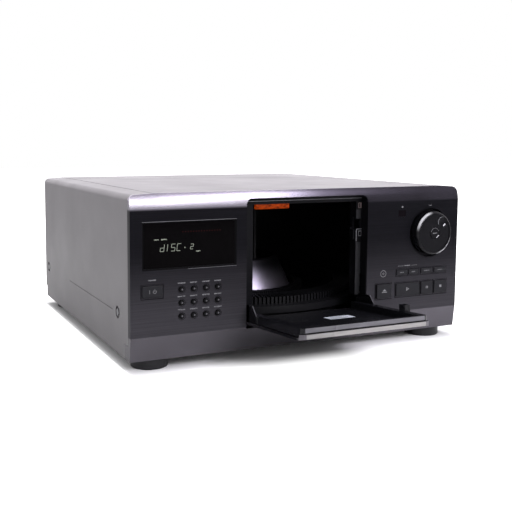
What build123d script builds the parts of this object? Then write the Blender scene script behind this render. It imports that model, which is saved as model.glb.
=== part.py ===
from build123d import *
import math
import os

os.makedirs("parts", exist_ok=True)

# Disc changer with its loading door folded down. Millimetres.
# While it is drawn, X runs to the right, Y runs back from the flat face of the fascia and Z runs up
# from the floor. Each piece is moved along Y as it is written, so that the origin is the middle of
# the bottom of the whole machine's box.

# ---------------------------------------------------------------- driving dimensions
cabinet_width = 430.0
cabinet_height = 189.5
foot_height = 12.0
foot_radius = 20.5
foot_inset_x = 30.0
foot_front_y = 27.0
foot_rear_gap = 34.0
seat_gap = 0.3
shaft_gap = 0.05

cover_sheet = 1.0
cover_skirt_z = 28.3
cover_bend = 6.5
shoulder_inset = 27.0
shoulder_drop = 1.6
cover_rear_flange = 12.0
groove_width = 1.4
groove_depth = 0.5
top_slot_length = 13.0
side_line_z = 58.0
side_line_y0, side_line_y1 = 62.0, 255.0
chassis_sheet = 1.2
joggle_depth = 2.0
chassis_side_top = 68.0

fascia_wall = 2.5
fascia_edge = 7.5
fascia_return = 20.0
fascia_lip = 6.0
lower_crease = 38.5
upper_band = 18.5
lower_lean = 3.0
upper_lean = 5.0
board_y = 14.0
board_thickness = 1.6

opening_half = 80.0
opening_sill = 36.0
lintel_height = 8.5
opening_corner = 7.0
door_gap = 1.0
door_skin = 2.5
door_rim_depth = 6.2
door_rim_height = 4.5
door_rim_groove = 0.6
door_depth = 12.2
door_corner = 6.0
door_open_angle = 86.0
hinge_y = 12.0
hinge_z = 52.0
hinge_pin_radius = 2.5
hinge_arm_sheet = 1.2
hinge_arm_radius = 5.0
ear_depth = 22.0
ear_low, ear_high = 46.0, 75.0
ear_tip = 9.0
ear_room = 1.0

bay_wall = 3.0
bay_flange_y = 12.5
bay_flange = 2.5
bay_left_edge = 66.0
bay_right_edge = 72.0
bay_sill_z = 33.0
jamb_start = 60.0
latch_x0, latch_x1 = 68.5, 75.5
latch_drop = 40.0
latch_height = 10.0
latch_depth = 20.0
latch_room = 2.0
bracket_height = 14.0
lamp_inset = 4.0
lamp_length = 42.0
lamp_height = 5.5
lintel_flange = 8.0

carousel_front_y = 24.0
slot_count = 200
slot_width = 2.0
bore_radius = 60.0
floor_rise = 15.0
floor_thickness = 3.0
rim_width = 15.0
comb_width = 25.0
comb_height = 13.0
inner_comb_inner = 82.0
inner_comb_outer = 94.0
inner_comb_height = 7.0
rim_radius = 174.0
rim_height = 5.0
cone_foot_radius = 78.0
cone_height = 43.0
gear_module = 2.0
ring_inset = 14.0
pinion_teeth = 14
gear_face = 6.0
backlash = 0.35

deck_thickness = 3.0
deck_front_gap = 2.0
deck_rear_gap = 13.5
guard_gap = 12.5
guard_wall = 2.0
guard_top_z = 150.0
guard_open_angle = 36.0
leg_inset = 6.0
leg_radius = 6.0
boss_wall = 4.0
thrust_width = 8.0
thrust_height = 4.0

motor_radius = 11.0
motor_length = 12.0
motor_shaft = 1.0
motor_room = 0.8

disc_thickness = 1.2
rod_rise = 9.0
sled_end_gap = 2.0
sled_travel = 34.0
pickup_height = 18.0
pickup_drop = 18.0

# ---------------------------------------------------------------- derived sizes
half_width = cabinet_width / 2
carousel_y = carousel_front_y + rim_radius
deck_radius = rim_radius + guard_gap + guard_wall
cabinet_depth = carousel_y + deck_radius + deck_rear_gap
upper_crease = cabinet_height - upper_band
opening_top = cabinet_height - lintel_height
latch_low = opening_top - latch_drop
latch_high = latch_low + latch_height
cover_front_y = fascia_edge + seat_gap
chassis_half = half_width - cover_sheet
chassis_inner_half = chassis_half - joggle_depth
chassis_floor_z = foot_height + chassis_sheet
rear_y = cabinet_depth - cover_sheet
panel_y = rear_y - chassis_sheet
deck_z = chassis_floor_z + motor_length + motor_room
deck_top = deck_z + deck_thickness
thrust_z = deck_top + thrust_height
floor_z = deck_top + floor_rise
floor_top = floor_z + floor_thickness
cone_top_z = floor_top + cone_height
comb_outer = rim_radius - rim_width
comb_inner = comb_outer - comb_width
ring_teeth = round(2 * (rim_radius - ring_inset) / gear_module)
ring_pitch_radius = gear_module * ring_teeth / 2
pinion_pitch_radius = gear_module * pinion_teeth / 2
rod_low = deck_top + rod_rise
pickup_top = rod_low + sled_end_gap + sled_travel + pickup_height
spindle_z = pickup_top + pickup_drop


# ---------------------------------------------------------------- helpers
def block(x0, x1, y0, y1, z0, z1):
    """Box between two corners."""
    middle = Pos((x0 + x1) / 2, (y0 + y1) / 2, (z0 + z1) / 2)
    return middle * Box(x1 - x0, y1 - y0, z1 - z0)


def prism(axis, start, end, sketch):
    """Sketch pushed along an axis. It is drawn in the other two axes, in X, Y, Z order."""
    planes = {
        "x": Plane(origin=(start, 0, 0), x_dir=(0, 1, 0), z_dir=(1, 0, 0)),
        "y": Plane(origin=(0, end, 0), x_dir=(1, 0, 0), z_dir=(0, -1, 0)),
        "z": Plane(origin=(0, 0, start)),
    }
    return extrude(planes[axis] * sketch, end - start)


def rod(axis, start, end, centre, radius):
    """Cylinder along an axis, with its centre in the other two axes."""
    return prism(axis, start, end, Pos(*centre) * Circle(radius))


def tube(axis, start, end, centre, radius, bore):
    """Hollow cylinder along an axis."""
    return prism(axis, start, end, Pos(*centre) * (Circle(radius) - Circle(bore)))


def polygon(points):
    """Filled outline through points."""
    return make_face(Polyline(*points, close=True))


def rounded(width, height, radius, centre):
    """Rectangle with round corners."""
    return Pos(*centre) * RectangleRounded(width, height, radius)


def toothed(count, root, tip, root_share, tip_share, phase=0.0):
    """Outline with straight sided teeth. The shares are the tooth's part of the pitch."""
    points = []
    for tooth in range(count):
        for radius, share in ((root, -root_share), (tip, -tip_share), (tip, tip_share), (root, root_share)):
            angle = 2 * math.pi * (tooth + share / 2) / count + phase
            points.append((radius * math.cos(angle), radius * math.sin(angle)))
    return polygon(points)


def gear_outline(teeth, module, internal=False, phase=0.0):
    """Spur gear outline, or the outline of the hole in an internal gear."""
    pitch = module * teeth / 2
    share = 0.5 + (backlash if internal else -backlash) / (math.pi * module)
    root = pitch - 1.2 * module if not internal else pitch - 0.9 * module
    tip = pitch + 0.9 * module if not internal else pitch + 1.2 * module
    return toothed(teeth, root, tip, min(share + 0.24, 0.9), share - 0.24, phase)


def opened(shape):
    """Door piece, drawn closed, turned down to its open place."""
    return shape.rotate(Axis((0, hinge_y, hinge_z), (1, 0, 0)), door_open_angle)


def around_carousel(radius, degrees):
    """Place at a radius and angle about the carousel's axis, counted from the front to the right."""
    turn = math.radians(degrees)
    return (radius * math.sin(turn), carousel_y - radius * math.cos(turn))


pieces = {}


def add(name, *shapes):
    """Keep a node's solids under its name."""
    pieces[name] = [solid for shape in shapes for solid in shape.solids()]


# ---------------------------------------------------------------- cabinet
def cabinet_outline(inset, bottom):
    """Cross-section of the cabinet, with sloped shoulders and bent corners."""
    side = half_width - inset
    top = cabinet_height - inset
    outline = polygon([
        (-side, bottom),
        (-side, top - shoulder_drop),
        (-half_width + shoulder_inset, top),
        (half_width - shoulder_inset, top),
        (side, top - shoulder_drop),
        (side, bottom),
    ])
    corners = [v for v in outline.vertices() if abs(abs(v.X) - side) < 0.01 and v.Y > top / 2]
    return fillet(corners, cover_bend - inset)


side_screw_places = [(side, y) for side in (-1, 1) for y in (foot_front_y + 17, cabinet_depth - 20)]
side_screw_z = side_line_z
screw_dish_radius = 7.0
screw_head_radius = 4.0
screw_head_height = 2.0
screw_radius = 1.5
screw_length = 8.0
rear_screw_inset = 35.0
rear_screw_middle = 60.0
rear_screw_far = half_width - rear_screw_inset
rear_screw_xs = (-rear_screw_far, -rear_screw_middle, rear_screw_middle, rear_screw_far)
rear_screw_z = cabinet_height - 7.5
panel_screw_inset = 25.0
panel_screw_xs = (panel_screw_inset - half_width, 0.0, half_width - panel_screw_inset)
panel_screw_z = chassis_floor_z + 9.0
dish_depth = cover_sheet + joggle_depth


def make_top_cover():
    """Bent sheet cover: top, two sides, rear flange and four dished screw places."""
    shell = prism("y", cover_front_y, cabinet_depth, cabinet_outline(0, cover_skirt_z))
    room = prism("y", cover_front_y - 1, cabinet_depth + 1, cabinet_outline(cover_sheet, cover_skirt_z - 1))
    cover = shell - room
    flange = prism("y", rear_y, cabinet_depth, cabinet_outline(cover_sheet, cover_skirt_z))
    flange -= prism("y", rear_y - 1, cabinet_depth + 1, Pos(0, cabinet_height / 2 - cover_rear_flange) *
                    Rectangle(2 * (half_width - cover_rear_flange), cabinet_height))
    cover += flange
    for side in (-1, 1):
        x = side * (half_width - shoulder_inset)
        cover -= block(x - groove_width / 2, x + groove_width / 2, cover_front_y - 1, cabinet_depth - 12,
                       cabinet_height - groove_depth, cabinet_height + 1)
        slot_x = side * (half_width - shoulder_inset - 10)
        cover -= block(slot_x - top_slot_length / 2, slot_x + top_slot_length / 2, 20, 22.5,
                       cabinet_height - groove_depth, cabinet_height + 1)
        low, high = sorted((side * (half_width - groove_depth), side * (half_width + 1)))
        cover -= block(low, high, side_line_y0, side_line_y1, side_line_z - 0.5, side_line_z + 0.5)
    for side, y in side_screw_places:
        outer = side * half_width
        floor = side * (half_width - dish_depth)
        low, high = sorted((outer, floor))
        cover -= rod("x", low, high, (y, side_screw_z), screw_dish_radius)
        cover += tube("x", low, high, (y, side_screw_z), screw_dish_radius + cover_sheet, screw_dish_radius)
        low, high = sorted((floor, floor + side * cover_sheet))
        cover += tube("x", low, high, (y, side_screw_z), screw_dish_radius, screw_radius + 0.2)
    for x in rear_screw_xs:
        cover -= rod("y", rear_y - 1, cabinet_depth + 1, (x, rear_screw_z), screw_radius + 0.2)
    return cover


def make_chassis():
    """Base pan with lower sides, joggled upper sides that the cover's dishes meet, and a rear upstand."""
    front = fascia_return
    pan = block(-chassis_half, chassis_half, front, rear_y, foot_height, chassis_floor_z)
    step_z = cover_skirt_z + 2.0
    for side in (-1, 1):
        low, high = sorted((side * chassis_half, side * (chassis_half - chassis_sheet)))
        pan += block(low, high, front, rear_y, foot_height, step_z)
        low, high = sorted((side * chassis_half, side * (chassis_inner_half - chassis_sheet)))
        pan += block(low, high, front, panel_y, step_z - chassis_sheet, step_z)
        low, high = sorted((side * chassis_inner_half, side * (chassis_inner_half - chassis_sheet)))
        pan += block(low, high, front, panel_y, step_z - chassis_sheet, chassis_side_top)
    pan += block(-chassis_inner_half, chassis_inner_half, panel_y - chassis_sheet, panel_y,
                 foot_height, panel_screw_z + 8)
    for side, y in side_screw_places:
        inner, outer = side * (chassis_inner_half - chassis_sheet - 1), side * (chassis_inner_half + 1)
        inner, outer = sorted((inner, outer))
        pan -= rod("x", inner, outer, (y, side_screw_z), screw_radius + shaft_gap)
    for x in panel_screw_xs:
        pan -= rod("y", panel_y - 2, panel_y + 1, (x, panel_screw_z), screw_radius + shaft_gap)
    for x, y in foot_places:
        pan -= rod("z", foot_height - 1, chassis_floor_z + 1, (x, y), foot_screw_radius + shaft_gap)
    return pan


foot_screw_radius = 2.0
foot_places = [
    (side * (half_width - foot_inset_x), y)
    for side in (-1, 1) for y in (foot_front_y, cabinet_depth - foot_rear_gap)
]


def make_feet():
    """Round feet with a sunk middle, and a peg that snaps into the pan."""
    sole = 3.0
    shapes = []
    for x, y in foot_places:
        foot = rod("z", 0, foot_height, (x, y), foot_radius)
        foot = fillet(foot.edges().filter_by(GeomType.CIRCLE).sort_by(Axis.Z)[0], 1.5)
        foot -= rod("z", -1, sole, (x, y), foot_radius / 2)
        foot += rod("z", foot_height, chassis_floor_z + 2, (x, y), foot_screw_radius)
        shapes.append(foot)
    return shapes


# ---------------------------------------------------------------- rear panel and sockets
phono_x = 96.0
phono_z = 46.0
phono_pitch = 14.0
phono_radius = 4.15
phono_length = 9.0
phono_collar = 1.3
phono_collar_proud = 0.6
phono_bore = 1.6
mini_x = 130.0
mini_bore = 1.8
optical_x = 158.0
optical_size = 9.0
optical_wall = 1.6
socket_floor = 31.0
inlet_x = -110.0
inlet_z = 44.0
inlet_width = 26.0
inlet_height = 18.0
inlet_hole_width = 15.0
inlet_hole_height = 7.6
inlet_hole_depth = 11.0
inlet_pin_radius = 1.15
inlet_pin_pitch = 8.6
socket_body_y = panel_y - 12.0
phono_places = [(phono_x, phono_z + rise) for rise in (-phono_pitch / 2, phono_pitch / 2)]
mini_places = [(mini_x, phono_z + rise) for rise in (-phono_pitch / 2, phono_pitch / 2)]


def make_rear_panel():
    """Flat steel back with holes for the sockets and screws."""
    panel = block(-chassis_inner_half, chassis_inner_half, panel_y, rear_y, chassis_floor_z, cabinet_height)
    panel &= prism("y", panel_y, rear_y, cabinet_outline(cover_sheet + seat_gap, 0))
    for x, z in phono_places:
        panel -= rod("y", panel_y - 1, rear_y + 1, (x, z), phono_radius + phono_collar + seat_gap)
    for x, z in mini_places:
        panel -= rod("y", panel_y - 1, rear_y + 1, (x, z), mini_bore + 1.2 + seat_gap)
    room = optical_size / 2 + seat_gap
    panel -= block(optical_x - room, optical_x + room, panel_y - 1, rear_y + 1, phono_z - room, phono_z + room)
    panel -= prism("y", panel_y - 1, rear_y + 1,
                   rounded(inlet_width + 2 * seat_gap, inlet_height + 2 * seat_gap, 3, (inlet_x, inlet_z)))
    for x in rear_screw_xs:
        panel -= rod("y", panel_y - 1, rear_y + 1, (x, rear_screw_z), screw_radius + shaft_gap)
    for x in panel_screw_xs:
        panel -= rod("y", panel_y - 1, rear_y + 1, (x, panel_screw_z), screw_radius + shaft_gap)
    return panel


def make_rear_jacks():
    """Phono pair, control pair and optical socket, each a housing behind the panel with its mouths."""
    top = phono_z + phono_pitch
    phono = block(phono_x - 8, phono_x + 8, socket_body_y, panel_y, socket_floor, top)
    collar_y = rear_y + phono_collar_proud
    for x, z in phono_places:
        phono += rod("y", panel_y - 1, collar_y, (x, z), phono_radius + phono_collar)
        phono += rod("y", collar_y - 1, collar_y + phono_length, (x, z), phono_radius)
    for x, z in phono_places:
        phono -= rod("y", collar_y, collar_y + phono_length + 1, (x, z), phono_bore)
    mini = block(mini_x - 7, mini_x + 7, socket_body_y, panel_y, socket_floor, top)
    for x, z in mini_places:
        mini += rod("y", panel_y - 1, rear_y + 1.0, (x, z), mini_bore + 1.2)
    for x, z in mini_places:
        mini -= rod("y", rear_y - 11, rear_y + 2, (x, z), mini_bore)
    half = optical_size / 2
    optical = block(optical_x - 7, optical_x + 7, socket_body_y, panel_y, socket_floor, phono_z + 8)
    optical += block(optical_x - half, optical_x + half, panel_y - 1, rear_y + 1.0, phono_z - half, phono_z + half)
    half -= optical_wall
    optical -= block(optical_x - half, optical_x + half, rear_y - 7, rear_y + 2, phono_z - half, phono_z + half)
    return [phono, mini, optical]


def make_power_inlet():
    """Two pin mains inlet: housing with a round ended hole and two steel pins in it."""
    face_y = rear_y + 1.5
    body = prism("y", panel_y - 9, face_y, rounded(inlet_width, inlet_height, 3, (inlet_x, inlet_z)))
    body += block(inlet_x - inlet_width / 2 - 2, inlet_x + inlet_width / 2 + 2, panel_y - 9, panel_y,
                  inlet_z - inlet_height / 2 - 2, inlet_z + inlet_height / 2 + 2)
    body -= prism("y", face_y - inlet_hole_depth, face_y + 1,
                  rounded(inlet_hole_width, inlet_hole_height, inlet_hole_height / 2 - 0.1, (inlet_x, inlet_z)))
    for side in (-1, 1):
        body += rod("y", face_y - inlet_hole_depth - 1, face_y - 2,
                    (inlet_x + side * inlet_pin_pitch / 2, inlet_z), inlet_pin_radius)
    return body


def screw(axis, seat, way, centre):
    """Pan head screw: its head stands on the seat, its shank goes the other way."""
    head = rod(axis, *sorted((seat, seat + way * screw_head_height)), centre, screw_head_radius)
    return head + rod(axis, *sorted((seat, seat - way * screw_length)), centre, screw_radius)


def make_case_screws():
    """All the cabinet's outside screws, which are the same kind."""
    screws = []
    for side, y in side_screw_places:
        seat = side * (half_width - joggle_depth)
        screws.append(screw("x", seat, side, (y, side_screw_z)))
    for x in rear_screw_xs:
        screws.append(screw("y", cabinet_depth, 1, (x, rear_screw_z)))
    for x in panel_screw_xs:
        screws.append(screw("y", rear_y, 1, (x, panel_screw_z)))
    return screws


# ---------------------------------------------------------------- controls
key_gap = 0.35
key_travel = 0.8
key_flange = 1.2
key_corner = 0.8
switch_height = 3.4
small_radius = 3.0
small_proud = 0.8
small_dish = 4.6
small_dish_depth = 0.7
small_pitch_x = 14.2
small_pitch_z = 14.4
small_top_z = 86.3
left_margin = 13.0
power_width = 22.5
power_to_small = 22.0
right_margin = 16.0
open_inset = 13.5
open_width = 21.5
open_to_play = 7.5
transport_z = 64.5
transport_height = 16.0
slim_z = 85.5
slim_height = 7.0
power_left = left_margin - half_width
small_first_x = power_left + power_width + power_to_small
open_left = opening_half + open_inset
play_left = open_left + open_width + open_to_play
keys_right = half_width - right_margin

# name: (left, right, middle height, height, how far it stands out)
key_places = {
    "power_button": (power_left, power_left + power_width, 86.2, 12.4, 1.2),
    "open_close_button": (open_left, open_left + open_width, transport_z, transport_height + 1.2, 2.6),
    "play_button": (play_left, keys_right - 41.7, transport_z, transport_height, 1.6),
    "pause_button": (keys_right - 39.0, keys_right - 21.6, transport_z, transport_height, 1.6),
    "stop_button": (keys_right - 18.9, keys_right, transport_z, transport_height, 1.6),
    "slim_button_1": (keys_right - 75.7, keys_right - 60.2, slim_z, slim_height, 0.9),
    "slim_button_2": (keys_right - 57.8, keys_right - 43.8, slim_z, slim_height, 0.9),
    "slim_button_3": (keys_right - 39.3, keys_right - 22.2, slim_z, slim_height, 0.9),
    "slim_button_4": (keys_right - 19.0, keys_right - 1.0, slim_z, slim_height, 0.9),
}
small_places = [
    (small_first_x + column * small_pitch_x, small_top_z - row * small_pitch_z)
    for row in range(3) for column in range(4)
]
stem_end_y = board_y - switch_height - key_travel - 0.1


def make_key(left, right, middle, height, proud):
    """Key cap with a round edged face, a flange behind the fascia and a stem towards its switch."""
    x = (left + right) / 2
    cap = prism("y", -proud, fascia_wall + seat_gap, rounded(right - left, height, key_corner, (x, middle)))
    cap = fillet(cap.edges().filter_by_position(Axis.Y, -proud - 0.01, -proud + 0.01), 0.5)
    flange_y = fascia_wall + seat_gap
    cap += block(left - 0.7, right + 0.7, flange_y, flange_y + key_flange,
                 middle - height / 2 - 1, middle + height / 2 + 1)
    return cap + rod("y", flange_y, stem_end_y, (x, middle), 1.8)


def make_small_button(x, z):
    """Small round cap with its flange and stem."""
    cap = rod("y", -small_proud, fascia_wall + seat_gap, (x, z), small_radius)
    cap = fillet(cap.edges().filter_by_position(Axis.Y, -small_proud - 0.01, -small_proud + 0.01), 0.6)
    flange_y = fascia_wall + seat_gap
    cap += rod("y", flange_y, flange_y + key_flange, (x, z), small_radius + 1.1)
    return cap + rod("y", flange_y, stem_end_y, (x, z), 1.5)


dial_inset = 43.0
dial_rise = 47.0
dial_x = half_width - dial_inset
dial_z = slim_z + dial_rise
dial_radius = 26.5
dial_proud = 10.0
dial_back_y = 4.7
dial_dish_radius = 30.0
dial_dish_wall = 2.3
dial_floor_y = dial_back_y + 0.5
dimple_radius = 7.0
dimple_distance = 17.5
dimple_angle = 48.0
dimple_depth = 1.4
sleeve_radius = 9.0
enter_radius = 6.6
enter_gap = 0.35
sleeve_front_y = -4.0


def make_jog_dial():
    """Turning dial: bevelled rim, dished finger hollow, bore on the encoder's sleeve."""
    dial = rod("y", -dial_proud, dial_back_y, (dial_x, dial_z), dial_radius)
    dial = chamfer(dial.edges().filter_by_position(Axis.Y, -dial_proud - 0.01, -dial_proud + 0.01), 2.4)
    dial -= rod("y", -dial_proud - 1, -dial_proud + 0.6, (dial_x, dial_z), dial_radius - 4.5)
    turn = math.radians(dimple_angle)
    x = dial_x + dimple_distance * math.cos(turn)
    z = dial_z + dimple_distance * math.sin(turn)
    ball = (dimple_radius ** 2 + dimple_depth ** 2) / (2 * dimple_depth)
    dial -= Pos(x, -dial_proud + 0.6 + dimple_depth - ball, z) * Sphere(ball) & rod(
        "y", -dial_proud - 2 * ball, 0, (x, z), dimple_radius)
    dial -= rod("y", sleeve_front_y, dial_back_y + 1, (dial_x, dial_z), sleeve_radius + shaft_gap)
    return dial - rod("y", -dial_proud - 1, 0, (dial_x, dial_z), enter_radius + enter_gap)


def make_enter_button():
    """Push button in the dial's middle, with a long stem through the encoder's sleeve."""
    face_y = -dial_proud + 0.2
    button = rod("y", face_y, sleeve_front_y + 4, (dial_x, dial_z), enter_radius)
    button = fillet(button.edges().filter_by_position(Axis.Y, face_y - 0.01, face_y + 0.01), 0.8)
    return button + rod("y", sleeve_front_y + 4, stem_end_y, (dial_x, dial_z), 2.4)


# ---------------------------------------------------------------- fascia and windows
window_left, window_right = left_margin - half_width, -opening_half - 12.0
window_low, window_high = 108.0, cabinet_height - 29.5
window_bevel = 2.2
lens_front_y = 1.4
lens_flange = 3.0
lens_thickness = 1.5
sensor_width, sensor_height = 10.7, 8.0
sensor_right = dial_x - 37.0
sensor_left = sensor_right - sensor_width
sensor_high = cabinet_height - 28.2
sensor_low = sensor_high - sensor_height
post_radius = 3.2
board_low, board_high = 42.0, cabinet_height - 21.0
board_near, board_far = opening_half + 8.0, half_width - 9.0
left_board = (-board_far, -board_near)
right_board = (board_near, board_far)


def fascia_profile(shift, back):
    """Side view of the fascia's front, moved back by shift and closed at back."""
    low = (lower_lean + shift, foot_height)
    crease = (shift, lower_crease)
    shoulder = (shift, upper_crease)
    middle = (upper_lean * 0.3 + shift, (upper_crease + cabinet_height) / 2)
    top = (upper_lean + shift, cabinet_height)
    far_top, far_low = (back, cabinet_height), (back, foot_height)
    front = Line(low, crease) + Line(crease, shoulder) + ThreePointArc(shoulder, middle, top)
    return make_face(front + Line(top, far_top) + Line(far_top, far_low) + Line(far_low, low))


def post_places(board):
    """Four places near a board's corners."""
    left, right = board
    return [(x, z) for x in (left + 4, right - 4) for z in (board_low + 4, board_high - 4)]


def in_wall(sketch, y):
    """Sketch on a plane of the front at a depth y, facing out."""
    return (Plane(origin=(0, y, 0), x_dir=(1, 0, 0), z_dir=(0, -1, 0)) * sketch).face()


def make_fascia():
    """Moulded front: shell, lower return, inner lip, openings, dial dish and board posts."""
    outline = prism("y", -1, fascia_return + 1, cabinet_outline(0, foot_height))
    shell = prism("x", -half_width, half_width, fascia_profile(0, fascia_edge)) & outline
    hollow = prism("x", -half_width + 3, half_width - 3, fascia_profile(fascia_wall, fascia_edge + 5))
    hollow &= block(-half_width, half_width, 0, fascia_edge + 5, foot_height + 2.5, cabinet_height - 4)
    fascia = shell - hollow
    skirt = block(-half_width, half_width, fascia_edge, fascia_return, foot_height, cover_skirt_z - seat_gap)
    fascia += skirt - block(-half_width + 3, half_width - 3, fascia_edge - 1, fascia_return + 1,
                            foot_height + 2.5, cover_skirt_z)
    inset = cover_sheet + seat_gap
    lip_out = prism("y", fascia_edge - 1, fascia_edge + fascia_lip, cabinet_outline(inset, cover_skirt_z))
    lip_in = prism("y", fascia_edge - 2, fascia_edge + fascia_lip + 1,
                   cabinet_outline(inset + fascia_wall, cover_skirt_z - 1))
    fascia += lip_out - lip_in
    for board in (left_board, right_board):
        for x, z in post_places(board):
            fascia += rod("y", fascia_wall - 0.5, board_y, (x, z), post_radius)
    fascia += rod("y", fascia_wall - 0.5, dial_floor_y + dial_dish_wall, (dial_x, dial_z),
                  dial_dish_radius + dial_dish_wall)
    fascia -= rod("y", -1, dial_floor_y, (dial_x, dial_z), dial_dish_radius)
    fascia -= rod("y", -1, board_y, (dial_x, dial_z), sleeve_radius + seat_gap)
    opening = rounded(2 * opening_half, opening_top - opening_sill + 2 * opening_corner, opening_corner,
                      (0, (opening_top + opening_sill) / 2 - opening_corner))
    opening &= Pos(0, opening_sill + cabinet_height / 2) * Rectangle(cabinet_width, cabinet_height)
    fascia -= prism("y", -1, fascia_edge + 4, opening)
    window = ((window_left + window_right) / 2, (window_low + window_high) / 2)
    width, height = window_right - window_left, window_high - window_low
    inner = rounded(width - 2 * window_bevel, height - 2 * window_bevel, 1, window)
    fascia -= prism("y", -1, fascia_edge, inner)
    fascia -= loft([in_wall(rounded(width, height, 2, window), 0), in_wall(inner, lens_front_y)])
    fascia -= block(sensor_left, sensor_right, -1, fascia_edge, sensor_low, sensor_high)
    for left, right, middle, tall, proud in key_places.values():
        hole = rounded(right - left + 2 * key_gap, tall + 2 * key_gap, key_corner + key_gap,
                       ((left + right) / 2, middle))
        fascia -= prism("y", -1, fascia_edge, hole)
    for x, z in small_places:
        fascia -= rod("y", -1, small_dish_depth, (x, z), small_dish)
        fascia -= rod("y", -1, fascia_edge, (x, z), small_radius + key_gap)
    return fascia


def make_display_lens():
    """Smoked window: a plate in the bevelled opening, with a flange glued behind the wall."""
    low_x, high_x = window_left + window_bevel, window_right - window_bevel
    low_z, high_z = window_low + window_bevel, window_high - window_bevel
    middle = ((low_x + high_x) / 2, (low_z + high_z) / 2)
    lens = prism("y", lens_front_y, fascia_wall, rounded(high_x - low_x - 0.2, high_z - low_z - 0.2, 1, middle))
    return lens + block(low_x - lens_flange, high_x + lens_flange, fascia_wall, fascia_wall + lens_thickness,
                        low_z - lens_flange, high_z + lens_flange)


def make_sensor_window():
    """Dark window of the remote control sensor, flush in the wall, with a flange behind it."""
    window = block(sensor_left, sensor_right, 0.4, fascia_wall, sensor_low, sensor_high)
    return window + block(sensor_left - 2, sensor_right + 2, fascia_wall, fascia_wall + 1.5,
                          sensor_low - 2, sensor_high + 2)


display_glass_y = fascia_wall + lens_thickness + 1.0


def make_display_module():
    """Display tube on a holder that stands on the control board."""
    left, right = window_left + 6, window_right - 6
    low, high = window_low + 5, window_high - 5
    glass = block(left, right, display_glass_y, display_glass_y + 4, low, high)
    holder = block(left - 1.5, right + 1.5, display_glass_y + 4, board_y, low - 1.5, high + 1.5)
    holder -= block(left + 3, right - 3, display_glass_y + 5.5, board_y + 1, low + 3, high - 3)
    return glass, holder


def board_with_switches(board, places):
    """Circuit board on the fascia's posts, and a switch in front of it at each place."""
    left, right = board
    plate = block(left, right, board_y, board_y + board_thickness, board_low, board_high)
    return [plate] + [block(x - 3, x + 3, board_y - switch_height, board_y, z - 3, z + 3) for x, z in places]


def make_control_board():
    """Left board, with the power key's and the round buttons' switches."""
    left, right, middle, _, _ = key_places["power_button"]
    return board_with_switches(left_board, [((left + right) / 2, middle)] + small_places)


def make_dial_board():
    """Right board, with the keys' switches, the sensor and the dial's encoder and sleeve."""
    places = [((left + right) / 2, middle)
              for name, (left, right, middle, _, _) in key_places.items() if name != "power_button"]
    shapes = board_with_switches(right_board, places + [(dial_x, dial_z)])
    sensor_x, sensor_z = (sensor_left + sensor_right) / 2, (sensor_low + sensor_high) / 2
    shapes.append(block(sensor_x - 4, sensor_x + 4, fascia_wall + 2.5, board_y, sensor_z - 3, sensor_z + 3))
    shapes.append(tube("y", sleeve_front_y + shaft_gap, board_y, (dial_x, dial_z), sleeve_radius,
                       enter_radius + enter_gap))
    return shapes


# ---------------------------------------------------------------- loading bay and door
def make_bay_frame(fascia_front):
    """Moulded frame around the bay: side walls with the hinge bores, lintel, sill and jamb flanges."""
    outer = opening_half + 0.5 + bay_wall
    back = bay_flange_y + bay_flange
    top = opening_top + 0.5
    frame = block(-outer, outer, fascia_wall, back, bay_sill_z - bay_flange, top + bay_wall)
    frame -= block(-outer + bay_wall, outer - bay_wall, -1, back + 1, bay_sill_z, top)
    for side, edge in ((-1, bay_left_edge), (1, bay_right_edge)):
        low, high = sorted((side * edge, side * (outer - bay_wall)))
        frame += block(low, high, bay_flange_y, back, jamb_start, top)
    lintel_z = opening_top - lintel_flange
    frame += block(-bay_left_edge, bay_right_edge, bay_flange_y, back, lintel_z, top)
    frame += block(bay_right_edge - 2, bay_right_edge + 2, back, back + 8, latch_low - bracket_height, latch_low)
    frame += block(bay_right_edge + 1.5, bay_right_edge + 4, back, back + 12, jamb_start, lintel_z)
    frame += block(-bay_left_edge - 4, -bay_left_edge - 1.5, back, back + 12, jamb_start, lintel_z)
    for side in (-1, 1):
        low, high = sorted((side * (tray_half - 1), side * (outer - bay_wall)))
        frame -= block(low, high, bay_flange_y - 1, back + 1, jamb_start - 1,
                       ear_high + ear_tip + ear_room)
        low, high = sorted((side * (outer - bay_wall - 1), side * (outer + 1)))
        frame -= rod("x", low, high, (hinge_y, hinge_z), hinge_pin_radius + shaft_gap)
    frame -= block(bay_right_edge - 3, latch_x1 + latch_room, bay_flange_y - 1, latch_depth + latch_room,
                   latch_low - latch_room, latch_high + latch_room)
    return frame - fascia_front


def make_bay_lamp():
    """Amber lamp bar that hangs under the lintel's left end."""
    left, top = lamp_inset - bay_left_edge, opening_top - lintel_flange
    lens = block(left, left + lamp_length, bay_flange_y, bay_flange_y + bay_flange + 2, top - lamp_height, top)
    return fillet(lens.edges().filter_by(Axis.X).sort_by(Axis.Z)[:2], 1.2)


door_half = opening_half - door_gap
door_low = lower_crease - seat_gap
door_high = opening_top - door_gap
tray_half = door_half - 2.0
tray_low = 50.0
tray_high = door_high - 0.8
tray_rim = 9.0
tray_floor = 2.0


def door_outline(inset):
    """The door seen from the front, with its upper corners rounded, drawn smaller by the inset."""
    radius = door_corner - inset
    tall = door_high - door_low + 2 * radius
    outline = rounded(2 * (door_half - inset), tall, radius, (0, door_high - inset - tall / 2))
    return outline & (Pos(0, door_low + cabinet_height / 2) * Rectangle(cabinet_width, cabinet_height))


def make_door_panel():
    """Outer skin, flat in the middle and following the fascia's curve at its top."""
    skin = prism("x", -door_half, door_half, fascia_profile(0, 60) - fascia_profile(door_skin, 60))
    skin += block(-door_half, door_half, door_skin, door_rim_depth, door_high - door_rim_height, door_high)
    return skin & prism("y", -5, 20, door_outline(0))


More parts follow.
